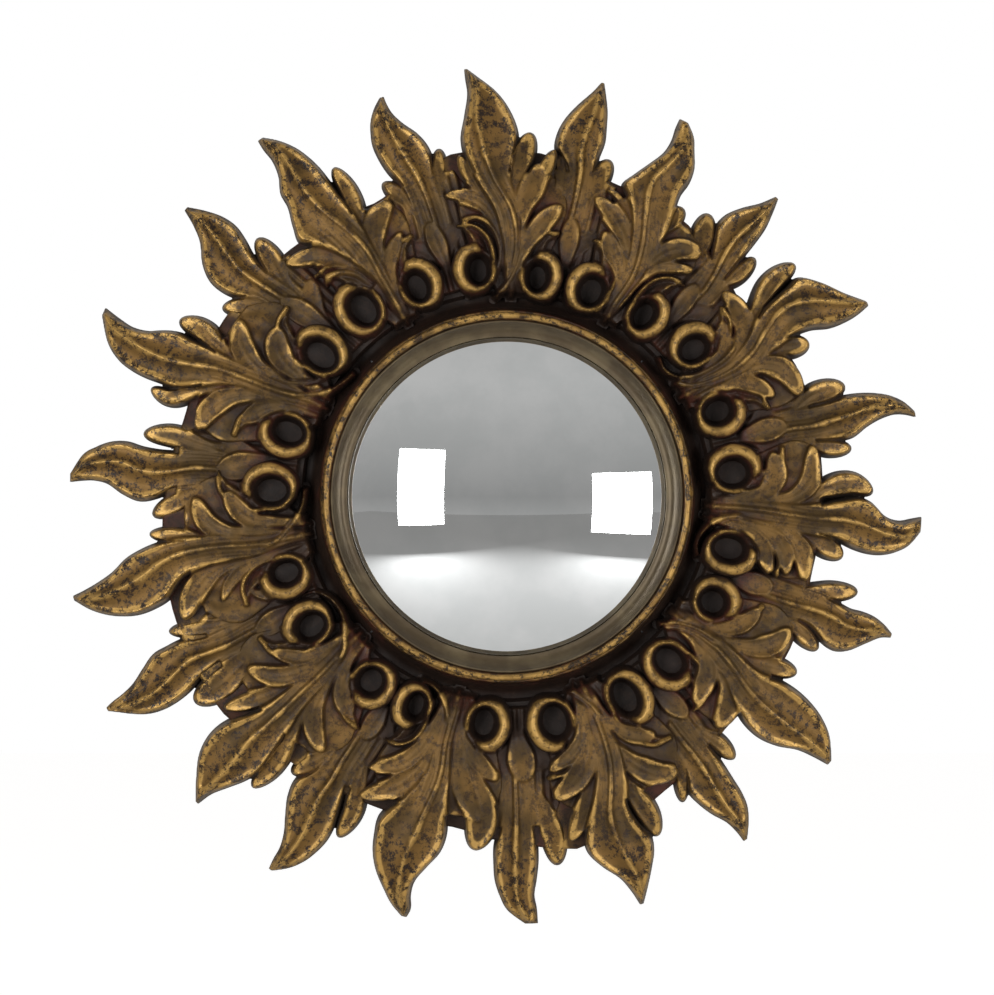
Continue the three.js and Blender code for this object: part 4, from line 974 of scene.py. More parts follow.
    def back_leaf(self, leaf: BackLeaf) -> Relief:
        """Carves a back leaf: its fluted root, lobes and blade, and the hood of three leaflets over it.

        Args:
            leaf: the leaf.

        Returns:
            Its raster.
        """
        hood = leaf.hood
        relief = self.blank(leaf.blade, *[entry[1:] for entry in leaf.lobes], hood[1:])
        stem = np.mean(leaf.blade[0][1:3])
        stations = ((134, 6.5), (150, 8.0), (175, 9.5), (195, 9.0), (212, 6.0))
        rows = np.array([(d, stem - k, stem + k, stem) for d, k in stations])
        distance, left, rib, right = self.spans(relief, rows)
        edge = np.minimum(np.minimum(left, -right), np.minimum(distance - 132, 213 - distance))
        edge = np.minimum(edge, self.inside(relief))
        rise = self.back_relief - 1.5 + 0.9 * np.cos(2 * np.pi * rib / 5.2) - 0.008 * rib**2
        relief.lay(np.s_[:, :], edge, rise, 3.0)
        for entry in leaf.lobes:
            self.lobe(relief, entry, self.back_relief - 1, 3.0)
        self.blade(relief, leaf.blade, self.back_relief, 150.0)
        root, crest = (Line.read(hood[1:]).at(share) for share in (0.2, 1.0))
        for reach, width, turn, layer in self.hood_leaflets:
            numbers = []
            for share, bend in ((0.0, 0.0), (0.5, 0.5 * turn), (1.0, turn)):
                a = math.radians(bend)
                x, y = (crest - root) * share * reach
                point = root + (x * math.cos(a) + y * math.sin(a), y * math.cos(a) - x * math.sin(a))
                numbers += [math.degrees(math.atan2(*point)), math.hypot(*point)]
            self.lobe(relief, (hood[0] * width, *numbers), self.hood_relief + layer, self.hood_dish)
        self.clear_cups(relief)
        return self.finish(relief)


# ---- making meshes -----------------------------------------------------------------------------


def deselect() -> None:
    """Leaves object mode with nothing selected."""
    if bpy.context.object and bpy.context.object.mode != "OBJECT":
        bpy.ops.object.mode_set(mode="OBJECT")
    bpy.ops.object.select_all(action="DESELECT")


@contextmanager
def editing(piece: bpy.types.Object, select: bool = True) -> Iterator[None]:
    """Edit mode on one piece.

    Args:
        piece: the mesh object to edit.
        select: whether all of it starts selected, or what is selected in its mesh.
    """
    deselect()
    piece.select_set(True)
    bpy.context.view_layer.objects.active = piece
    bpy.ops.object.mode_set(mode="EDIT")
    if select:
        bpy.ops.mesh.select_all(action="SELECT")
    yield
    bpy.ops.object.mode_set(mode="OBJECT")
    piece.select_set(False)


def corners(piece: bpy.types.Object) -> np.ndarray:
    """The vertices of a piece as rows of X, Y and Z in metres.

    Args:
        piece: the mesh object.

    Returns:
        One row for each vertex.
    """
    made = np.empty(len(piece.data.vertices) * 3)
    piece.data.vertices.foreach_get("co", made)
    return made.reshape(-1, 3)


def move_corners(piece: bpy.types.Object, places: np.ndarray) -> None:
    """Puts the vertices of a piece at new places, in metres."""
    piece.data.vertices.foreach_set("co", places.astype(np.float32).ravel())
    piece.data.update()


def select_faces(piece: bpy.types.Object, chosen: np.ndarray) -> None:
    """Selects exactly the chosen faces of a piece, in object mode.

    Args:
        piece: the mesh object.
        chosen: for each face, whether it is chosen.
    """
    mesh = piece.data
    mesh.vertices.foreach_set("select", np.zeros(len(mesh.vertices), bool))
    mesh.edges.foreach_set("select", np.zeros(len(mesh.edges), bool))
    mesh.polygons.foreach_set("select", chosen.astype(bool))
    mesh.update()


def face_values(piece: bpy.types.Object, values: np.ndarray) -> np.ndarray:
    """The mean over each face of a value per vertex.

    Args:
        piece: the mesh object.
        values: one value for each vertex.

    Returns:
        One value for each face.
    """
    mesh = piece.data
    owner = np.empty(len(mesh.loops), int)
    mesh.loops.foreach_get("vertex_index", owner)
    start = np.empty(len(mesh.polygons), int)
    count = np.empty(len(mesh.polygons), int)
    mesh.polygons.foreach_get("loop_start", start)
    mesh.polygons.foreach_get("loop_total", count)
    return np.add.reduceat(values[owner], start) / count


def face_normals(piece: bpy.types.Object) -> np.ndarray:
    """The normals of a piece's faces, as rows.

    Args:
        piece: the mesh object.

    Returns:
        One row for each face.
    """
    made = np.empty(len(piece.data.polygons) * 3)
    piece.data.polygons.foreach_get("normal", made)
    return made.reshape(-1, 3)


def apply_modifier(piece: bpy.types.Object, kind: str, **settings: Any) -> None:
    """Adds a modifier with its settings and applies it.

    Args:
        piece: the mesh object.
        kind: the modifier's type name.
        settings: values for its properties.
    """
    deselect()
    piece.select_set(True)
    bpy.context.view_layer.objects.active = piece
    modifier = piece.modifiers.new(kind.lower(), kind)
    for key, value in settings.items():
        setattr(modifier, key, value)
    bpy.ops.object.modifier_apply(modifier=modifier.name)
    piece.select_set(False)


def settle(piece: bpy.types.Object) -> None:
    """Puts a piece's place and turn into its mesh, so that its object sits at the origin.

    Args:
        piece: the mesh object.
    """
    deselect()
    piece.select_set(True)
    bpy.context.view_layer.objects.active = piece
    bpy.ops.object.transform_apply(location=True, rotation=True, scale=True)
    piece.select_set(False)


def clean(piece: bpy.types.Object, merge: float = 1e-6) -> None:
    """Merges doubles and turns every face outwards.

    Args:
        piece: the mesh object.
        merge: how near, in metres, two vertices are one.
    """
    with editing(piece):
        bpy.ops.mesh.remove_doubles(threshold=merge)
        bpy.ops.mesh.normals_make_consistent(inside=False)


def smooth(piece: bpy.types.Object, angle: float = 35.0) -> None:
    """Shades a piece smooth but for its edges sharper than an angle in degrees.

    Args:
        piece: the mesh object.
        angle: the angle in degrees.
    """
    deselect()
    piece.select_set(True)
    bpy.context.view_layer.objects.active = piece
    bpy.ops.object.shade_smooth_by_angle(angle=math.radians(angle))
    piece.select_set(False)


def place(bearing: float, distance: float, rise: float) -> Vector:
    """A point in metres from its bearing in degrees and its distance and rise in mm.

    Args:
        bearing: degrees clockwise from the top.
        distance: mm from the centre of the glass.
        rise: mm forward of the back.

    Returns:
        The point.
    """
    a = math.radians(bearing)
    across, up = distance * math.sin(a), distance * math.cos(a) - SLOT_DISTANCE
    return Vector((across, -rise, up)) * MM


GLASS_CENTRE = place(0, 0, 0)


def turned(
    name: str, profile: Profile, steps: int, centre: Vector = GLASS_CENTRE, closed: bool = False
) -> bpy.types.Object:
    """A turned form: a circle that is drawn out step by step along a profile.

    Args:
        name: the piece's name.
        profile: points of (radius, rise) in mm, in order.
        steps: sides of the circle.
        centre: where the axis, which lies along Y, meets the back, in metres.
        closed: whether the last ring meets the first, or both ends are filled.

    Returns:
        The piece, settled at the origin.
    """
    radius, rise = profile[0]
    deselect()
    start = centre + Vector((0, -rise * MM, 0))
    bpy.ops.mesh.primitive_circle_add(
        vertices=steps, radius=radius * MM, location=start, rotation=(math.pi / 2, 0, 0)
    )
    piece = bpy.context.object
    piece.name = name
    settle(piece)
    with editing(piece):
        if not closed:
            bpy.ops.mesh.edge_face_add()
            bpy.ops.mesh.select_mode(type="EDGE")
        for next_radius, next_rise in profile[1:]:
            bpy.ops.mesh.extrude_edges_move()
            ratio = next_radius / radius
            bpy.ops.transform.resize(value=(ratio, 1, ratio), center_override=centre)
            bpy.ops.transform.translate(value=(0, (rise - next_rise) * MM, 0))
            radius, rise = next_radius, next_rise
        if closed:
            bpy.ops.mesh.select_all(action="SELECT")
            bpy.ops.mesh.select_mode(type="EDGE")
            bpy.ops.mesh.region_to_loop()
            bpy.ops.mesh.bridge_edge_loops()
        else:
            bpy.ops.mesh.edge_face_add()
        bpy.ops.mesh.select_mode(type="VERT")
    clean(piece)
    return piece


def cut_away(piece: bpy.types.Object, cutters: Sequence[bpy.types.Object]) -> None:
    """Cuts closed shapes out of a piece and deletes them.

    Args:
        piece: the piece to cut.
        cutters: the shapes to cut out of it.
    """
    for cutter in cutters:
        apply_modifier(piece, "BOOLEAN", operation="DIFFERENCE", object=cutter, solver="EXACT")
        bpy.data.objects.remove(cutter)


def plug(radius: float, back: float, front: float, centre: Vector, steps: int = 48) -> bpy.types.Object:
    """A cutter: a cylinder along Y between two rises in mm.

    Args:
        radius: its radius in mm.
        back: the rise of its back end.
        front: the rise of its front end.
        centre: where its axis meets the back, in metres.
        steps: sides of its circle.

    Returns:
        The cutter, settled at the origin.
    """
    deselect()
    middle = centre + Vector((0, -(back + front) / 2 * MM, 0))
    bpy.ops.mesh.primitive_cylinder_add(
        vertices=steps,
        radius=radius * MM,
        depth=(front - back) * MM,
        location=middle,
        rotation=(math.pi / 2, 0, 0),
    )
    piece = bpy.context.object
    settle(piece)
    return piece


def bar(
    name: str, length: float, width: float, back: float, front: float, steps: int = 48
) -> bpy.types.Object:
    """A round-ended bar along X, centred on the origin, between two rises in mm.

    Args:
        name: the piece's name.
        length: its whole length in mm.
        width: its width in mm.
        back: the rise of its back.
        front: the rise of its front.
        steps: sides of the circle that its ends are halves of.

    Returns:
        The piece.
    """
    piece = plug(width / 2, back, front, Vector((0, 0, 0)), steps)
    piece.name = name
    places = corners(piece)
    places[:, 0] += np.sign(places[:, 0]) * (length - width) / 2 * MM * (abs(places[:, 0]) > 1e-7)
    move_corners(piece, places)
    return piece


# ---- finishes ----------------------------------------------------------------------------------


def linear(code: str) -> tuple[float, float, float, float]:
    """An sRGB hex colour such as "#A07D46" as the linear colour that a shader takes.

    Args:
        code: the hex code.

    Returns:
        Red, green, blue and an alpha of 1.
    """
    parts = [int(code[i : i + 2], 16) / 255 for i in (1, 3, 5)]
    made = [c / 12.92 if c <= 0.04045 else ((c + 0.055) / 1.055) ** 2.4 for c in parts]
    return (*made, 1.0)


class Shading:
    """A new material with its nodes, which one method adds."""

    def __init__(self, name: str) -> None:
        """Starts a material that holds only its output and a Principled shader.

        Args:
            name: the material's name.
        """
        self.material = bpy.data.materials.new(name)
        self.material.use_nodes = True
        self.tree = self.material.node_tree
        self.shader = self.tree.nodes["Principled BSDF"]

    def node(self, kind: str, links: dict[Any, Any] | None = None, **settings: Any) -> bpy.types.Node:
        """Adds a node.

        Args:
            kind: the node's type name, without its "ShaderNode".
            links: for each input, a socket to link or a value to set.
            settings: the node's own properties.

        Returns:
            The node.
        """
        made = self.tree.nodes.new("ShaderNode" + kind)
        for key, value in settings.items():
            setattr(made, key, value)
        for key, value in (links or {}).items():
            if isinstance(value, bpy.types.NodeSocket):
                self.tree.links.new(value, made.inputs[key])
            else:
                made.inputs[key].default_value = value
        return made

    def feed(self, name: str, value: Any) -> None:
        """Links a socket to, or sets a value on, an input of the shader.

        Args:
            name: the input.
            value: the socket or the value.
        """
        if isinstance(value, bpy.types.NodeSocket):
            self.tree.links.new(value, self.shader.inputs[name])
        else:
            self.shader.inputs[name].default_value = value

    def place(self) -> bpy.types.NodeSocket:
        """The object coordinates, in metres."""
        return self.node("TexCoord").outputs["Object"]

    def grain(self, size: float, detail: float = 3.0, rough: float = 0.6) -> bpy.types.NodeSocket:
        """Noise whose features are about a size in mm.

        Args:
            size: the size.
            detail: how many finer layers it has.
            rough: how strong they are.

        Returns:
            The noise, about 0.5 in the middle.
        """
        scale = 1000.0 / size
        links = {"Vector": self.place(), "Scale": scale, "Detail": detail, "Roughness": rough}
        return self.node("TexNoise", links).outputs["Fac"]

    def ramp(
        self, value: Any, low: float, high: float, to: tuple[float, float] = (0, 1)
    ) -> bpy.types.NodeSocket:
        """A value mapped smoothly from one range to another and held there."""
        links = {"Value": value, "From Min": low, "From Max": high, "To Min": to[0], "To Max": to[1]}
        return self.node("MapRange", links, interpolation_type="SMOOTHSTEP").outputs["Result"]

    def sum(self, how: str, a: Any, b: Any) -> bpy.types.NodeSocket:
        """Two values taken together by a Math node."""
        return self.node("Math", {0: a, 1: b}, operation=how).outputs["Value"]

    def blend(self, share: Any, a: Any, b: Any) -> bpy.types.NodeSocket:
        """One colour laid over another by a share; hex codes or sockets.

        Args:
            share: how much of the second colour shows.
            a: the first colour.
            b: the second colour.

        Returns:
            The colour.
        """
        made = self.node("Mix", {"Factor": share}, data_type="RGBA")
        for socket, value in ((made.inputs["A"], a), (made.inputs["B"], b)):
            if isinstance(value, str):
                socket.default_value = linear(value)
            else:
                self.tree.links.new(value, socket)
        return made.outputs["Result"]

    def bump(self, height: bpy.types.NodeSocket, depth: float) -> None:
        """Bumps the shader's surface by a height; depth in mm."""
        links = {"Height": height, "Distance": depth * MM, "Strength": 1.0}
        self.feed("Normal", self.node("Bump", links).outputs["Normal"])


@dataclass(frozen=True)
class GiltResin:
    """Cast resin, bole-red under bronze-gold paint rubbed off and toned: bright gold on what stands proud,
    both rubbed gilding and painted highlight; brown in the hollows, both toning and painted shade, and near
    black as painted shade where most shut in; black specks of worn patina, and a grey bloom on the bevelled
    rims."""

    gold: str = "#6E5229"
    rubbed_and_highlight_gold: str = "#AA8649"
    brown: str = "#46351B"
    umber: str = "#302117"
    bole: str = "#42241A"
    shade_and_speck_black: str = "#1A110C"
    bloom: str = "#4C443B"
    speck: float = 1.2  # mm
    patch: float = 13.0  # mm
    blotch: float = 6.0  # mm

    def make(self) -> bpy.types.Material:
        """The material; it reads the wear and highlight, hollow, rim and tip that the carving leaves on its
        vertices, which give its painted highlight on what stands proud and its painted shade where a place
        is shut in.

        Returns:
            The material.
        """
        s = Shading("gilt_cast_resin")
        wear_and_highlight, hollow, rim, tip = (
            s.node("Attribute", attribute_name=name).outputs["Fac"]
            for name in ("wear_and_highlight", "hollow", "rim", "tip")
        )
        fine = s.grain(self.speck, 4.0, 0.7)
        patch = s.grain(self.patch, 3.0)
        cloud = s.grain(self.patch * 2.5, 3.0)
        blotch = s.grain(self.blotch, 5.0, 0.78)
        # toned brown all over, with gold coming through in clouds, most of all on the tips
        shown = s.sum("ADD", cloud, s.sum("MULTIPLY", tip, 0.14))
        tone = s.blend(s.ramp(shown, 0.38, 0.64), self.brown, self.gold)
        # rubbed bright on what stands proud: worn gilding and a painted highlight
        rubbed_and_lit = s.sum("ADD", wear_and_highlight, s.sum("MULTIPLY", s.sum("SUBTRACT", patch, 0.5), 0.7))
        rubbed_and_lit = s.sum("ADD", rubbed_and_lit, s.sum("MULTIPLY", tip, 0.09))
        lit = s.ramp(rubbed_and_lit, 0.64, 0.92)
        tone = s.blend(lit, tone, self.rubbed_and_highlight_gold)
        # dark and reddish in the hollows: toning, and painted shade by how shut in a place is
        opened = s.sum("ADD", hollow, s.sum("MULTIPLY", s.sum("SUBTRACT", patch, 0.5), 0.35))
        open_share = s.ramp(opened, 0.48, 0.86)
        deep = s.blend(s.ramp(cloud, 0.45, 0.6), self.umber, self.bole)
        tone = s.blend(open_share, deep, tone)
        # painted shade: near black where a place is most shut in
        tone = s.blend(s.ramp(hollow, 0.26, 0.5, (0.92, 0)), tone, self.shade_and_speck_black)
        # brown blotches of toning, and specks where the paint has worn off
        toned = s.sum("MULTIPLY", s.ramp(blotch, 0.5, 0.6), s.ramp(tip, 0.0, 1.0, (0.55, 0.85)))
        tone = s.blend(toned, tone, self.umber)
        worn = s.sum("MULTIPLY", s.ramp(blotch, 0.46, 0.56), s.ramp(fine, 0.44, 0.54))
        worn = s.sum("MULTIPLY", worn, s.ramp(tip, 0.0, 1.0, (0.45, 1.0)))
        tone = s.blend(worn, tone, self.shade_and_speck_black)
        grey = s.sum("MULTIPLY", rim, s.ramp(fine, 0.25, 0.55))
        tone = s.blend(grey, tone, self.bloom)
        s.feed("Base Color", tone)
        bare = s.sum("MAXIMUM", worn, grey)
        s.feed("Metallic", s.ramp(s.sum("SUBTRACT", open_share, bare), 0.0, 1.0, (0.0, 0.42)))
        s.feed("Roughness", s.ramp(s.sum("ADD", wear_and_highlight, fine), 0.5, 1.5, (0.62, 0.36)))
        s.feed("Specular IOR Level", 0.25)
        s.bump(fine, 0.16)
        return s.material


@dataclass(frozen=True)
class BareResin:
    """The same resin where the mould was open at the back: brown, matt and a little pitted."""

    colour: str = "#3B2E25"
    pale: str = "#54463A"

    def make(self) -> bpy.types.Material:
        """The material.

        Returns:
            The material.
        """
        s = Shading("bare_cast_resin")
        grain = s.grain(2.5, 4.0)
        s.feed("Base Color", s.blend(s.ramp(grain, 0.4, 0.65), self.colour, self.pale))
        s.feed("Roughness", 0.82)
        s.bump(grain, 0.15)
        return s.material


@dataclass(frozen=True)
class BronzeSlip:
    """Bronze paint on a spun slip: taupe brown, satin, with faint turning marks and rubbed patches."""

    colour: str = "#4A3D29"
    pale: str = "#5F523A"
    dark: str = "#2E2620"

    def make(self) -> bpy.types.Material:
        """The material.

        Returns:
            The material.
        """
        s = Shading("bronze_painted_slip")
        cloud = s.grain(22.0, 3.0)
        fine = s.grain(1.4, 4.0)
        tone = s.blend(s.ramp(cloud, 0.4, 0.68), self.colour, self.pale)
        tone = s.blend(s.ramp(fine, 0.6, 0.72, (0, 0.5)), tone, self.dark)
        s.feed("Base Color", tone)
        s.feed("Metallic", 0.45)
        s.feed("Roughness", s.ramp(cloud, 0.3, 0.7, (0.38, 0.46)))
        s.bump(fine, 0.04)
        return s.material


class Plain(Enum):
    """The finishes that show mostly from behind: (name, colour, other colour, grain in mm, roughness,
    metallic, bump in mm)."""

    SILVERED_GLASS = ("silvered_glass", "#F2F4F4", "#E9ECEC", 40.0, 0.015, 1.0, 0.0)
    FOAM = ("black_foam", "#2B2B2C", "#3B3B3C", 0.9, 0.95, 0.0, 0.2)
    HARDBOARD = ("brown_hardboard", "#6B4A30", "#543822", 1.3, 0.8, 0.0, 0.06)
    ZINC_STEEL = ("zinc_plated_steel", "#A9ABAE", "#8D9096", 3.0, 0.34, 0.95, 0.01)
    FELT = ("brown_felt", "#4A4038", "#5C5148", 0.6, 1.0, 0.0, 0.25)

    def make(self) -> bpy.types.Material:
        """The material: two close colours by a grain, which also gives the bump.

        Returns:
            The material.
        """
        name, colour, other, size, roughness, metallic, bump = self.value
        s = Shading(name)
        grain = s.grain(size, 4.0)
        s.feed("Base Color", s.blend(s.ramp(grain, 0.35, 0.65), colour, other))
        s.feed("Roughness", roughness)
        s.feed("Metallic", metallic)
        if bump:
            s.bump(grain, bump)
        return s.material


# ---- the object's pieces -----------------------------------------------------------------------


def belongs(piece: bpy.types.Object, body: str, slot: str, *nodes: str) -> None:
    """Says which body a piece rides on and the nodes it stands for.

    Args:
        piece: the mesh object.
        body: the body that carries it.
        slot: its colour slot; not used.
        nodes: the nodes that it stands for.
    """
    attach(piece, body)
    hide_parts(*nodes)
    LOG.info("%s: %d faces, on %s", piece.name, len(piece.data.polygons), body)


def dress(piece: bpy.types.Object, *materials: bpy.types.Material) -> None:
    """Gives a piece its materials, the first one all over.

    Args:
        piece: the mesh object.
        materials: its materials in order.
    """
    piece.data.materials.clear()
    for material in materials:
        piece.data.materials.append(material)


@dataclass
class Overview:
    """The whole front as one raster, from which the wear with its painted highlight, and the painted shade,
    are read.
    """

    pitch: float = 0.6
    half: float = 300.0
    relief: Relief = field(init=False)
    wear_and_highlight: np.ndarray = field(init=False)
    hollow: np.ndarray = field(init=False)

    def __post_init__(self) -> None:
        """Starts with nothing but the level of the back."""
        self.relief = Relief.over((-self.half,) * 2, (self.half,) * 2, self.pitch, 0.0)

    def lay_profile(self, profile: Profile) -> None:
        """Lays a turned profile of (radius, rise) over what is there.

        Args:
            profile: points of (radius, rise) in mm.
        """
        distance = np.hypot(self.relief.across, self.relief.up)
        radii, rises = zip(*profile)
        shape = np.interp(distance, radii, rises, left=-1.0, right=-1.0)
        self.relief.rise = np.maximum(self.relief.rise, shape)

    def lay(self, form: Relief) -> None:
        """Lays one carved form over what is there.

        Args:
            form: the raster of the form.
        """
        ends = np.array([(form.across[i, i], form.up[i, i]) for i in (0, -1)])
        view = self.relief.window(ends, 0)
        rise = form.sample(form.rise, self.relief.across[view], self.relief.up[view])
        edge = form.sample(form.edge, self.relief.across[view], self.relief.up[view])
        shown = np.where(edge > 0, rise, 0.0)
        self.relief.rise[view] = np.maximum(self.relief.rise[view], shown)

    def measure(self) -> None:
        """Works out how proud and how shut in each place is, both from 0 to 1: the first gives worn gold and
        painted highlight, the second painted shade.
        """
        rise = self.relief.rise
        proud = smoothed(rise, 0.8) - smoothed(rise, 4.5)
        self.wear_and_highlight = smoothed(np.clip(0.5 + proud / 4.0, 0, 1), 0.7)
        shut = np.zeros_like(rise)
        directions = 16
        for k in range(directions):
            turn = 2 * math.pi * k / directions
            steepest = np.zeros_like(rise)
            for reach in (1.2, 2.4, 4.2, 6.6, 9.6, 14.0, 20.0):
                cells = reach / self.pitch
                step = (round(cells * math.sin(turn)), round(cells * math.cos(turn)))
                beyond = np.roll(rise, step, (0, 1))
                steepest = np.maximum(steepest, (beyond - rise) / reach)
            shut += steepest / np.sqrt(1 + steepest**2)
        self.hollow = smoothed(1 - shut / directions, 0.8)

    def read(self, values: np.ndarray, across: np.ndarray, up: np.ndarray) -> np.ndarray:
        """A value at places given in mm in the plane of the back."""
        return self.relief.sample(values, across, up)


@dataclass
class Casting:
    """The gilt casting: ground, bead, front sprays and the leaves behind them."""

    carving: Carving
    cell: float = 0.6  # mm between the points of a carved face
    ring_steps: int = 192
    opening_radius: float = 112.0
    rebate_radius: float = 114.3
    recess_radius: float = 130.3
    fillet_radius: float = 118.0
    web_radius: float = 200.0  # before it is spread to its outline
    spread_from: float = 175.0
    hollow_radius: float = 186.0  # within which the leaves' backs stand off the wall
    hollow_rise: float = 5.0
    ring_seat: float = 18.9
    flange: float = 3.8
    recess_depth: float = 6.0
    # length, width, depth and how far the middle lies below the seat of the slot
    hanger_bed: Numbers = (50.6, 20.6, 3.7, 7.0)
    hanger_pocket: Numbers = (13.0, 13.0, 8.4, 6.0)
    # half width, lower and upper end and rise of the room that the leaves leave round it
    hanger_room: Numbers = (32.0, 140.0, 177.0, 12.5)
    pieces: list[bpy.types.Object] = field(default_factory=list)
    overview: Overview = field(default_factory=Overview)
    reliefs: dict[str, Relief] = field(default_factory=dict)

    def bead_profile(self) -> list[tuple[float, float]]:
        """The front of the bead, from the opening out to the foot of its fillet.

        Returns:
            Points of (radius, rise) in mm.
        """
        crown = self.carving.bead_relief
        inner = self.opening_radius
        rounds = [
            (inner + 2.7 - 2.1 * math.cos(a), crown - 2.6 + 2.6 * math.sin(a))
            for a in np.linspace(0, math.pi * 0.82, 9)
        ]
        return [
            (inner, crown - 3.4),
            *rounds,
            (self.fillet_radius - 1.2, crown - 3.0),
            (self.fillet_radius - 0.5, crown - 2.8),
            (self.fillet_radius, crown - 3.6),
            (self.fillet_radius + 0.6, crown - 7.0),
            (self.fillet_radius + 2.2, crown - 15.0),
            (self.fillet_radius + 6.0, self.carving.gutter_floor + 2.0),
            (self.fillet_radius + 8.0, self.carving.gutter_floor),
            (self.fillet_radius + 11.0, self.carving.gutter_floor),
            (self.fillet_radius + 13.0, self.carving.web_relief),
        ]

    def ground_outline(self, bearing: np.ndarray) -> np.ndarray:
        """The distance of the web's edge at each bearing."""
        turns, reach = np.array(WEB_NOTCHES).T
        return np.interp(bearing, turns, reach, period=360)

    def make_ground(self) -> bpy.types.Object:
        """The web with the seats at its back, turned and spread to its outline.

        Returns:
            The piece, without the bed of the hanger.
        """
        web = self.carving.web_relief
        outline = self.web_radius
        seat = self.ring_seat + self.flange
        profile = [
            *[(radius, rise - 0.4) for radius, rise in self.bead_profile()[1:]],
            (150.0, web),
            (self.spread_from, web),
            (outline - 1.5, web),
            (outline, web - 1.5),
            (outline, 1.0),
            (outline - 1.0, 0.0),
            (self.recess_radius + 0.6, 0.0),
            (self.recess_radius, 0.6),
            (self.recess_radius, self.recess_depth),
            (self.rebate_radius + 0.4, self.recess_depth),
            (self.rebate_radius, self.recess_depth + 0.4),
            (self.rebate_radius, seat),
            (self.opening_radius + 0.4, seat),
        ]
        piece = turned("frame_ground", profile, self.ring_steps, closed=True)
        places = corners(piece)
        across, up = places[:, 0] / MM, places[:, 2] / MM + SLOT_DISTANCE
        distance = np.hypot(across, up)
        reach = self.ground_outline(np.degrees(np.arctan2(across, up)))
        share = smoothstep((distance - self.spread_from) / (outline - self.spread_from))
        grown = distance + (reach - outline) * share
        places[:, 0] = across * grown / distance * MM
        places[:, 2] = (up * grown / distance - SLOT_DISTANCE) * MM
        move_corners(piece, places)
        return piece

    def make_bead(self) -> bpy.types.Object:
        """The gold bead round the opening.

        Returns:
            The piece.
        """
        front = self.bead_profile()
        back = [
            (self.fillet_radius + 3.0, self.carving.web_relief),
            (self.opening_radius, self.ring_seat + self.flange),
        ]
        return turned("gilt_bead", [*front[:-4], *back], self.ring_steps, closed=True)

    def underside(self, across: np.ndarray, up: np.ndarray, lift: float) -> np.ndarray:
        """The rise of a carved piece's back: clear of the recess and of the bed of the hanger.

        Args:
            across: the places' across, in mm.
            up: the places' up, in mm.
            lift: how far the back stands off where nothing else lifts it.

        Returns:
            The rise at each place.
        """
        distance = np.hypot(across, up)
        inside = smoothstep((self.hollow_radius - distance) / 3.0) * self.hollow_rise
        recess = np.where(distance < self.recess_radius + 1.5, self.recess_depth + 1.5, 0.0)
        half, low, high, rise = self.hanger_room
        bed = (abs(across) < half) & (up > low) & (up < high)
        return lift + np.maximum(np.maximum(inside, recess), np.where(bed, rise, 0.0))

    def carve(self, name: str, form: Relief, lift: float) -> bpy.types.Object:
        """A carved piece: a grid raised to the form, trimmed to its outline and given sides and a back.

        Args:
            name: the piece's name.
            form: the raster of its rise and edge.
            lift: how far its back stands off the plane of the back, in mm.

        Returns:
            The piece, settled at the origin.
        """
        low = np.array([form.across[0, 0], form.up[0, 0]])
        size = np.array([form.across[-1, -1], form.up[-1, -1]]) - low
        counts = np.ceil(size / self.cell).astype(int)
        deselect()
        bpy.ops.mesh.primitive_grid_add(x_subdivisions=int(counts[0]), y_subdivisions=int(counts[1]), size=2)
        piece = bpy.context.object
        piece.name = name
        plan = low + (corners(piece)[:, :2] + 1) / 2 * size
        edge = form.sample(form.edge, plan[:, 0], plan[:, 1])
        with self.selected(piece, face_values(piece, edge) <= -0.15):
            bpy.ops.mesh.delete(type="FACE")
            bpy.ops.mesh.select_all(action="SELECT")
            bpy.ops.mesh.delete_loose()
        plan = low + (corners(piece)[:, :2] + 1) / 2 * size
        plan = self.trimmed(piece, form, plan)
        rise = form.sample(form.rise, plan[:, 0], plan[:, 1])
        self.put(piece, plan, rise)
        with editing(piece):
            bpy.ops.mesh.extrude_region_move()
        places = corners(piece)
        plan = np.stack([places[:, 0] / MM, places[:, 2] / MM + SLOT_DISTANCE], axis=-1)
        chosen = np.zeros(len(places), bool)
        piece.data.vertices.foreach_get("select", chosen)
        rise = -places[:, 1] / MM
        rise[chosen] = np.minimum(self.underside(plan[chosen, 0], plan[chosen, 1], lift), rise[chosen] - 0.4)
        self.put(piece, plan, rise)
        with editing(piece):
            bpy.ops.mesh.normals_make_consistent(inside=False)
        back = face_values(piece, chosen.astype(float)) > 0.99
        with self.selected(piece, back):
            bpy.ops.mesh.dissolve_limited(angle_limit=math.radians(0.5))
        self.shade(piece)
        return piece

    @contextmanager
    def selected(self, piece: bpy.types.Object, chosen: np.ndarray) -> Iterator[None]:
        """Edit mode with exactly the chosen faces selected.

        Args:
            piece: the mesh object.
            chosen: for each face, whether it is chosen.
        """
        select_faces(piece, chosen)
        with editing(piece, select=False):
            bpy.ops.mesh.select_mode(type="FACE")
            yield
            bpy.ops.mesh.select_mode(type="VERT")

    def put(self, piece: bpy.types.Object, plan: np.ndarray, rise: np.ndarray) -> None:
        """Places a piece's vertices by their plan and rise in mm."""
        move_corners(piece, np.stack([plan[:, 0], -rise, plan[:, 1] - SLOT_DISTANCE], axis=-1) * MM)

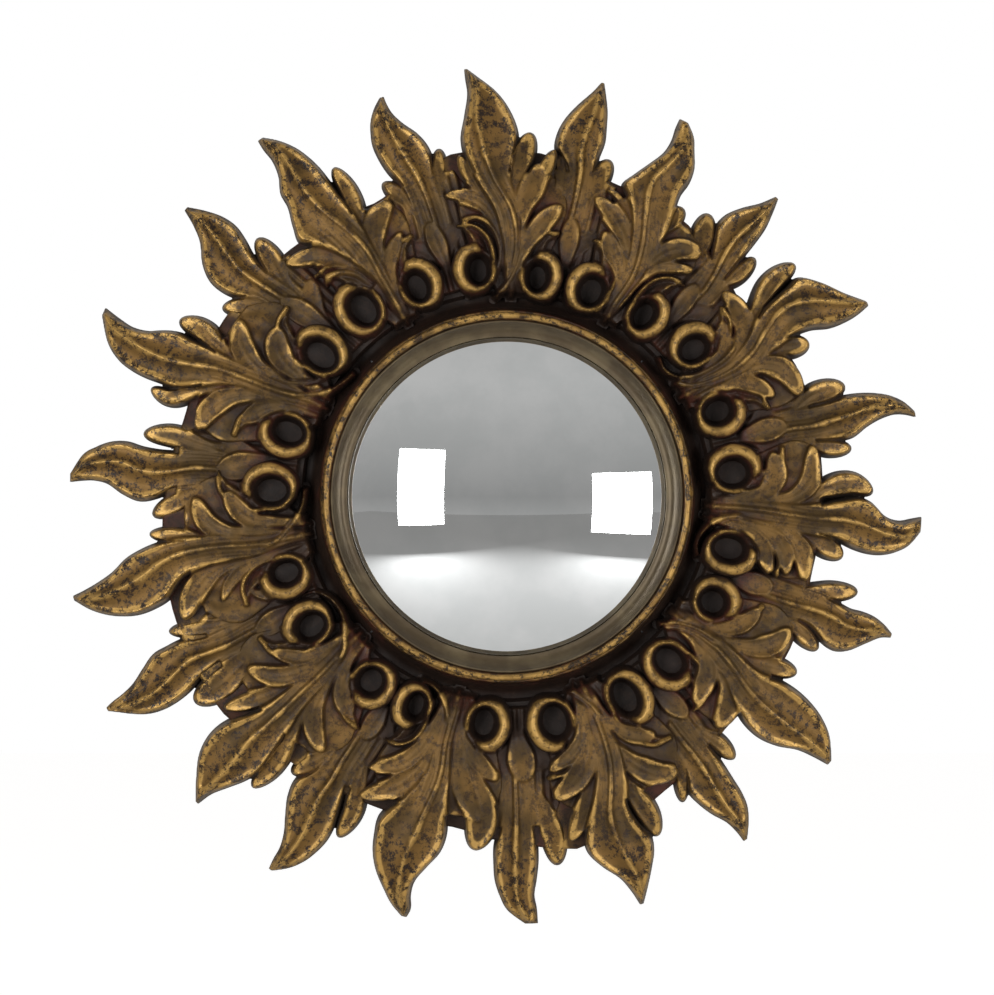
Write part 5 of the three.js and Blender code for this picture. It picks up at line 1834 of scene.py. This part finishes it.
    def trimmed(self, piece: bpy.types.Object, form: Relief, plan: np.ndarray) -> np.ndarray:
        """The plan with its border moved onto the form's outline.

        Args:
            piece: the mesh object.
            form: the raster with the outline.
            plan: rows of across and up, one for each vertex.

        Returns:
            The plan.
        """
        mesh = piece.data
        ends = np.empty(len(mesh.edges) * 2, int)
        mesh.edges.foreach_get("vertices", ends)
        used = np.zeros(len(mesh.edges), int)
        loops = np.empty(len(mesh.loops), int)
        mesh.loops.foreach_get("edge_index", loops)
        np.add.at(used, loops, 1)
        border = np.unique(ends.reshape(-1, 2)[used == 1])
        slope_up, slope_across = np.gradient(form.edge, form.pitch)
        for _ in range(3):
            x, z = plan[border].T
            gap = form.sample(form.edge, x, z)
            gx = form.sample(slope_across, x, z)
            gz = form.sample(slope_up, x, z)
            steep = np.maximum(gx**2 + gz**2, 0.09)
            move = np.clip(-gap / steep, -self.cell, self.cell) * 0.8
            plan[border] += np.stack([gx * move, gz * move], axis=-1)
        return plan

    def shade(self, piece: bpy.types.Object) -> None:
        """Leaves on each vertex its wear and painted highlight, how open it is, which sets its painted
        shade, how near its rim it is, and how far out.

        Args:
            piece: the mesh object.
        """
        places = corners(piece)
        across, up = places[:, 0] / MM, places[:, 2] / MM + SLOT_DISTANCE
        rise = -places[:, 1] / MM
        top = self.overview.read(self.overview.relief.rise, across, up)
        # what lies under another piece loses its painted highlight and gets painted shade
        sunk = np.clip((top - rise - 1.5) / 6.0, 0, 1)
        form = self.reliefs.get(piece.name)
        edge = form.sample(form.edge, across, up) if form else np.full(len(places), 9.0)
        distance = np.hypot(across, up)
        # the painted highlight is weaker nearer the glass, and the painted shade lighter further out
        values = {
            "wear_and_highlight": self.overview.read(self.overview.wear_and_highlight, across, up)
            * (1 - sunk)
            * mix(0.88, 1.0, smoothstep((distance - 155) / 40)),
            "hollow": self.overview.read(self.overview.hollow, across, up) * (1 - 0.6 * sunk)
            + 0.1 * smoothstep((distance - 150) / 25)
            + 0.15 * smoothstep((distance - 190) / 20),
            "rim": np.clip(1 - edge / 2.6, 0, 1) * smoothstep((distance - 175) / 30),
            "tip": smoothstep((distance - 190) / 60),
        }
        # the bead gets more specks and gold shown, and less painted highlight
        if piece.name == "gilt_bead":
            values["tip"] += 0.8
            values["wear_and_highlight"] *= 0.84
        for name, value in values.items():
            attribute = piece.data.attributes.new(name, "FLOAT", "POINT")
            attribute.data.foreach_set("value", value.astype(np.float32))

    def build(self) -> None:
        """Carves every spray and leaf, then the ground and the bead."""
        for i, leaf in enumerate(BACK_LEAVES):
            self.reliefs[f"back_leaf_{i + 1:02}"] = self.carving.back_leaf(leaf)
        for i, spray in enumerate(FRONT_SPRAYS):
            self.reliefs[f"front_spray_{i + 1:02}"] = self.carving.front_spray(spray)
        web = (self.web_radius + 5.0, self.carving.web_relief)
        self.overview.lay_profile([(self.opening_radius, 0.0), *self.bead_profile(), web])
        for form in self.reliefs.values():
            self.overview.lay(form)
        self.overview.measure()
        for i, (name, form) in enumerate(self.reliefs.items()):
            self.pieces.append(self.carve(name, form, 0.05 + 0.03 * i))
        ground = self.make_ground()
        cut_away(ground, self.seats())
        bead = self.make_bead()
        for piece in (ground, bead):
            self.shade(piece)
            self.pieces.append(piece)

    def seats(self) -> list[bpy.types.Object]:
        """The cutters for the bed of the hanger and for the pocket that its keyhole opens into.

        Returns:
            The cutters.
        """
        cutters = []
        for length, width, depth, drop in (self.hanger_bed, self.hanger_pocket):
            cutter = bar("seat", length, width, -1.0, depth)
            places = corners(cutter)
            places[:, 2] -= drop * MM
            move_corners(cutter, places)
            cutters.append(cutter)
        return cutters

    def finish(self, gilt: bpy.types.Material, bare: bpy.types.Material) -> None:
        """Dresses every piece: gilt in front, bare resin on the flat back.

        Args:
            gilt: the finish of the front and sides.
            bare: the finish of the back.
        """
        for piece in self.pieces:
            smooth(piece, 50.0)
            dress(piece, gilt, bare)
            behind = face_normals(piece)[:, 1] > 0.98
            piece.data.polygons.foreach_set("material_index", behind.astype(int))
            belongs(piece, FRAME_BODY, "gilt_resin", "leaf_frame")


@dataclass
class Glazing:
    """The domed glass, the bronze slip over its edge, and the foam and board behind it."""

    sight_radius: float = 101.6
    ring_outer: float = 111.7
    flange_radius: float = 114.0
    curve: float = 240.0
    thickness: float = 3.0
    glass_radius: float = 104.0
    foam_width: float = 9.0
    glass_back: float = 13.9
    ring_seat: float = 18.6
    lip: float = 0.9
    top: float = 29.0
    steps: int = 192
    pieces: dict[str, bpy.types.Object] = field(default_factory=dict)

    def dome(self, distance: float) -> float:
        """How far the glass stands over its edge, at a distance from its centre."""
        edge = math.sqrt(self.curve**2 - self.glass_radius**2)
        return math.sqrt(self.curve**2 - distance**2) - edge

    def make_glass(self) -> bpy.types.Object:
        """The glass: a domed shell of even thickness with a plain polished edge.

        Returns:
            The piece.
        """
        shares = [*np.linspace(0.02, 0.96, 44), 0.985, 1.0]
        back = [(s * self.glass_radius, self.glass_back + self.dome(s * self.glass_radius)) for s in shares]
        front = [(radius, rise + self.thickness) for radius, rise in back]
        return turned("domed_glass", [*back, *front[::-1]], self.steps)

    def make_ring(self) -> bpy.types.Object:
        """The bronze slip: a thin lip over the glass that sweeps up in a cove to the bead.

        Returns:
            The piece.
        """
        lip = self.ring_seat + self.lip
        width = self.ring_outer - self.sight_radius
        sweep = [
            (self.sight_radius + 1.2 + (width - 2.4) * s, mix(lip, self.top, 0.12 * s + 0.88 * s**2.4))
            for s in np.linspace(0, 1, 14)
        ]
        profile = [
            (self.sight_radius, self.ring_seat + 0.2),
            (self.sight_radius, lip - 0.5),
            (self.sight_radius + 0.3, lip - 0.1),
            *sweep,
            (self.ring_outer - 0.5, self.top),
            (self.ring_outer, self.top - 0.5),
            (self.ring_outer, self.ring_seat + 3.5),
            (self.flange_radius - 0.2, self.ring_seat + 3.5),
            (self.flange_radius, self.ring_seat + 3.3),
            (self.flange_radius, self.ring_seat + 0.2),
            (self.flange_radius - 0.2, self.ring_seat),
            (self.sight_radius + 0.2, self.ring_seat),
        ]
        return turned("bronze_slip", profile, self.steps, closed=True)

    def make_foam(self) -> bpy.types.Object:
        """The foam ring behind the glass's edge.

        Returns:
            The piece.
        """
        low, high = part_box("cushion_ring")
        back, front = -high.y / MM, -low.y / MM
        inner, outer = self.glass_radius - self.foam_width, self.glass_radius
        r = 0.8
        profile = [
            (inner, back + r), (inner, front - r), (inner + r, front), (outer - r, front),
            (outer, front - r), (outer, back + r), (outer - r, back), (inner + r, back),
        ]
        piece = turned("foam_ring", profile, self.steps, closed=True)
        return piece

    def make_board(self) -> bpy.types.Object:
        """The hardboard disc that closes the back.

        Returns:
            The piece.
        """
        low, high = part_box("backing_board")
        radius = (high.x - low.x) / 2 / MM
        back, front = -high.y / MM, -low.y / MM
        profile = [
            (3.0, back), (radius - 0.6, back), (radius, back + 0.6),
            (radius, front - 0.3), (radius - 0.3, front), (3.0, front),
        ]
        return turned("hardboard_back", profile, self.steps)

    def build(self) -> None:
        """Builds the four pieces."""
        self.pieces = {
            "convex_glass": self.make_glass(),
            "sight_ring": self.make_ring(),
            "cushion_ring": self.make_foam(),
            "backing_board": self.make_board(),
        }

    def finish(self, finishes: dict[str, bpy.types.Material]) -> None:
        """Dresses each piece and sets it on the frame.

        Args:
            finishes: the materials by slot.
        """
        slots = {
            "convex_glass": "silvered_glass",
            "sight_ring": "bronze_slip",
            "cushion_ring": "foam",
            "backing_board": "hardboard",
        }
        for node, piece in self.pieces.items():
            smooth(piece, 30.0)
            dress(piece, finishes[slots[node]])
            belongs(piece, FRAME_BODY, slots[node], node)


@dataclass
class Fixings:
    """What shows on the back: turn buttons, the keyhole hanger, their screws and the felt pads."""

    button_length: float = 26.0
    button_width: float = 9.0
    button_heel: float = 3.0
    pivot_radius: float = 121.3  # from the centre of the glass to a button's screw
    screw_radius: float = 1.5
    bore_play: float = 0.3
    screw_head: float = 3.2
    head_height: float = 1.8
    screw_length: float = 11.0
    plate_length: float = 50.0
    plate_width: float = 20.0
    keyhole_drop: float = 9.0
    entry_radius: float = 5.0
    slot_radius: float = 2.4
    pad_radius: float = 7.0
    bearings: tuple[float, ...] = (45.0, 135.0, 225.0, 315.0)
    pieces: list[tuple[bpy.types.Object, str, str]] = field(default_factory=list)

    def make_button(self, i: int) -> bpy.types.Object:
        """One turn button, from its screw towards the centre of the board.

        Args:
            i: which button, from 0.

        Returns:
            The piece.
        """
        node = f"turn_button_{i + 1}"
        low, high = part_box(node)
        back, front = -high.y / MM, -low.y / MM
        piece = bar(f"button_bar_{i + 1}", self.button_length, self.button_width, back, front)
        apply_modifier(piece, "BEVEL", width=0.35 * MM, segments=2, limit_method="ANGLE")
        reach = self.button_length / 2 - self.button_width / 2 - self.button_heel
        bore = self.screw_radius + self.bore_play
        cut_away(piece, [plug(bore, back - 1, front + 1, Vector((reach * MM, 0, 0)), 24)])
        bearing = self.bearings[i]
        pivot = place(bearing, self.pivot_radius, 0)
        # along X towards the screw, turned to point away from the centre
        turn = Matrix.Rotation(math.radians(bearing - 90), 4, "Y")
        piece.data.transform(Matrix.Translation(pivot) @ turn @ Matrix.Translation((-reach * MM, 0, 0)))
        return piece

    def make_screw(self) -> bpy.types.Object:
        """A pan-head screw with a cross recess, its head's underside at a rise of 0.

        Returns:
            The piece, on the origin.
        """
        head, radius, height = self.screw_head, self.screw_radius, self.head_height
        rounds = [
            (head * math.sin(a), -height * (0.35 + 0.65 * math.cos(a)))
            for a in np.linspace(0.12, math.pi / 2, 8)
        ]
        profile = [
            *rounds, (head, -0.1), (head - 0.1, 0.0), (radius, 0.0),
            (radius, self.screw_length - 2), (0.3, self.screw_length),
        ]
        piece = turned("screw", profile, 32, Vector((0, 0, 0)))
        for length, width in ((3.4, 0.7), (0.7, 3.4)):
            deselect()
            bpy.ops.mesh.primitive_cube_add(size=1, location=(0, height * MM, 0))
            slot = bpy.context.object
            slot.scale = (length * MM, 2.2 * MM, width * MM)
            settle(slot)
            cut_away(piece, [slot])
        return piece

    def make_plate(self) -> bpy.types.Object:
        """The hanger: a round-ended plate with a keyhole and two countersunk holes.

        Returns:
            The piece.
        """
        low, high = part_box("keyhole_plate")
        back, front = -high.y / MM, -low.y / MM
        middle = (low.z + high.z) / 2
        piece = bar("hanger_plate", self.plate_length, self.plate_width, back, front, 64)
        places = corners(piece)
        places[:, 2] += middle
        move_corners(piece, places)
        apply_modifier(piece, "BEVEL", width=0.3 * MM, segments=2, limit_method="ANGLE")
        entry = plug(self.entry_radius, back - 1, front + 1, Vector((0, 0, -self.keyhole_drop * MM)), 48)
        slot_top = Vector((0, 0, -self.slot_radius * MM))
        slot = plug(self.slot_radius, back - 1, front + 1, slot_top, 32)
        places = corners(slot)
        lower = places[:, 2] < slot_top.z - 1e-6
        places[lower, 2] -= (self.keyhole_drop - self.slot_radius) * MM
        move_corners(slot, places)
        bore = self.screw_radius + self.bore_play
        holes = [plug(bore, back - 1, front + 1, self.plate_screw(side), 24) for side in (-1, 1)]
        cut_away(piece, [entry, slot, *holes])
        return piece

    def plate_screw(self, side: int) -> Vector:
        """Where the axis of a plate screw meets the back."""
        low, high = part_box("plate_screw_left" if side < 0 else "plate_screw_right")
        return Vector(((low.x + high.x) / 2, 0, (low.z + high.z) / 2))

    def make_pad(self, side: str) -> bpy.types.Object:
        """A felt pad with a soft edge.

        Args:
            side: left or right.

        Returns:
            The piece.
        """
        low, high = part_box(f"bumper_{side}")
        centre = Vector(((low.x + high.x) / 2, 0, (low.z + high.z) / 2))
        thick, r = high.y / MM, 0.9
        rounds = [
            (self.pad_radius - r + r * math.sin(a), -thick + r - r * math.cos(a))
            for a in np.linspace(0, math.pi / 2, 6)
        ]
        face = [(1.0, -thick), (self.pad_radius * 0.6, -thick)]
        profile = [*face, *rounds, (self.pad_radius, 0.0), (1.0, 0.0)]
        return turned(f"felt_pad_{side}", profile, 48, centre)

    def build(self) -> None:
        """Builds every piece; the screw is made once and copied."""
        screw = self.make_screw()
        for i in range(len(self.bearings)):
            body = f"button_{i + 1}"
            self.pieces.append((self.make_button(i), body, f"turn_button_{i + 1}"))
        nodes = [f"button_screw_{i + 1}" for i in range(len(self.bearings))]
        for node in [*nodes, "plate_screw_left", "plate_screw_right"]:
            low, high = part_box(node)
            copy = bpy.data.objects.new(node.replace("screw", "fixing"), screw.data.copy())
            bpy.context.collection.objects.link(copy)
            under = high.y - self.head_height * MM
            copy.data.transform(Matrix.Translation(((low.x + high.x) / 2, under, (low.z + high.z) / 2)))
            self.pieces.append((copy, FRAME_BODY, node))
        bpy.data.objects.remove(screw)
        self.pieces.append((self.make_plate(), FRAME_BODY, "keyhole_plate"))
        for side in ("left", "right"):
            self.pieces.append((self.make_pad(side), FRAME_BODY, f"bumper_{side}"))

    def finish(self, steel: bpy.types.Material, felt: bpy.types.Material) -> None:
        """Dresses the pieces and sets each on its body.

        Args:
            steel: the finish of metal pieces.
            felt: the finish of the pads.
        """
        for piece, body, node in self.pieces:
            smooth(piece, 30.0)
            soft = node.startswith("bumper")
            dress(piece, felt if soft else steel)
            belongs(piece, body, "felt" if soft else "zinc_steel", node)


# ---- the studio --------------------------------------------------------------------------------


@dataclass(frozen=True)
class Studio:
    """A pale floor, white surroundings, two softboxes and the camera."""

    distance: float = 2.0  # metres from the camera to the leaves
    leaf_plane: float = 0.02  # metres that the leaves stand forward of the back
    millimetres_per_pixel: float = 0.636
    width: int = 994
    height: int = 995
    centre_x: float = 506.75  # the centre of the glass in the picture, in pixels
    centre_y: float = 496.5
    floor_drop: float = 0.9
    floor_glow: float = 0.72
    lamp_distance: float = 2.2
    ambient: float = 0.34
    # (share of the way up, level) of the room that shows in reflections
    room_bands: tuple[Numbers, ...] = (
        (0.0, 0.5), (0.42, 0.4), (0.5, 0.3), (0.62, 0.38), (0.8, 0.5), (1.0, 0.46),
    )

    def camera(self) -> None:
        """The camera, straight in front, framed as the photograph is."""
        data = bpy.data.cameras.new("camera")
        data.sensor_width = 36.0
        longest = max(self.width, self.height) * self.millimetres_per_pixel * MM
        data.lens = data.sensor_width * self.distance / longest
        camera = bpy.data.objects.new("camera", data)
        bpy.context.collection.objects.link(camera)
        aside = (self.centre_x - self.width / 2) * self.millimetres_per_pixel * MM
        above = (self.centre_y - self.height / 2) * self.millimetres_per_pixel * MM
        camera.location = GLASS_CENTRE + Vector((-aside, -self.distance - self.leaf_plane, above))
        camera.rotation_euler = (math.pi / 2, 0, 0)
        bpy.context.scene.camera = camera

    def softbox(
        self, name: str, azimuth: float, elevation: float, size: tuple[float, float], power: float
    ) -> None:
        """A soft rectangular light that is turned towards the glass; size in metres.

        Args:
            name: its name.
            azimuth: degrees to the right of straight in front.
            elevation: degrees up.
            size: its width and height.
            power: in watts.
        """
        data = bpy.data.lights.new(name, "AREA")
        data.shape = "RECTANGLE"
        data.size, data.size_y = size
        data.energy = power
        light = bpy.data.objects.new(name, data)
        bpy.context.collection.objects.link(light)
        a, e = math.radians(azimuth), math.radians(elevation)
        towards = Vector((math.sin(a) * math.cos(e), -math.cos(a) * math.cos(e), math.sin(e)))
        light.location = GLASS_CENTRE + towards * self.lamp_distance
        light.rotation_mode = "QUATERNION"
        light.rotation_quaternion = towards.to_track_quat("Z", "Y")

    def floor(self) -> None:
        """A pale floor that keeps the shadow; the camera also sees it glow a little."""
        deselect()
        bpy.ops.mesh.primitive_plane_add(size=14, location=(0, 0, -self.floor_drop))
        floor = bpy.context.object
        floor.name = "floor"
        s = Shading("pale_floor")
        s.feed("Base Color", linear("#E4E4E4"))
        s.feed("Roughness", 0.9)
        seen = s.node("LightPath").outputs["Is Camera Ray"]
        s.feed("Emission Color", (1, 1, 1, 1))
        s.feed("Emission Strength", s.sum("MULTIPLY", seen, self.floor_glow))
        dress(floor, s.material)

    def world(self) -> None:
        """White to the camera, a pale grey room in reflections, and soft light all round."""
        world = bpy.data.worlds.new("studio")
        bpy.context.scene.world = world
        world.use_nodes = True
        tree = world.node_tree
        tree.nodes.clear()
        new = tree.nodes.new
        link = tree.links.new
        path, out = new("ShaderNodeLightPath"), new("ShaderNodeOutputWorld")
        where, split = new("ShaderNodeTexCoord"), new("ShaderNodeSeparateXYZ")
        link(where.outputs["Generated"], split.inputs[0])
        room = new("ShaderNodeValToRGB")
        while len(room.color_ramp.elements) < len(self.room_bands):
            room.color_ramp.elements.new(0.5)
        for element, (at, level) in zip(room.color_ramp.elements, self.room_bands):
            element.position = at
            element.color = (level, level * 0.99, level * 0.98, 1)
        half = new("ShaderNodeMath")
        half.operation = "MULTIPLY_ADD"
        half.inputs[1].default_value = 0.5
        half.inputs[2].default_value = 0.5
        link(split.outputs["Z"], half.inputs[0])
        link(half.outputs[0], room.inputs[0])
        soft, glossy, white = (new("ShaderNodeBackground") for _ in range(3))
        soft.inputs["Color"].default_value = (1, 0.98, 0.96, 1)
        soft.inputs["Strength"].default_value = self.ambient
        link(room.outputs["Color"], glossy.inputs["Color"])
        white.inputs["Color"].default_value = (1, 1, 1, 1)
        first, second = new("ShaderNodeMixShader"), new("ShaderNodeMixShader")
        link(path.outputs["Is Glossy Ray"], first.inputs[0])
        link(soft.outputs[0], first.inputs[1])
        link(glossy.outputs[0], first.inputs[2])
        link(path.outputs["Is Camera Ray"], second.inputs[0])
        link(first.outputs[0], second.inputs[1])
        link(white.outputs[0], second.inputs[2])
        link(second.outputs[0], out.inputs[0])

    def build(self) -> None:
        """Sets up the whole studio."""
        self.camera()
        self.floor()
        self.world()
        self.softbox("softbox_left", -28.5, 3.0, (0.6, 0.94), 26.0)
        self.softbox("softbox_right", 39.0, -2.0, (0.8, 0.73), 20.0)
        bpy.context.scene.view_settings.view_transform = "Standard"


def main() -> None:
    """Builds the mirror and its studio, in order."""
    logging.basicConfig(level=logging.INFO, format="%(message)s")
    Studio().build()
    casting = Casting(Carving())
    casting.build()
    casting.finish(GiltResin().make(), BareResin().make())
    finishes = {finish.name.lower(): finish.make() for finish in Plain}
    finishes["bronze_slip"] = BronzeSlip().make()
    glazing = Glazing()
    glazing.build()
    glazing.finish(finishes)
    fixings = Fixings()
    fixings.build()
    fixings.finish(finishes["zinc_steel"], finishes["felt"])


if __name__ == "__main__":
    main()
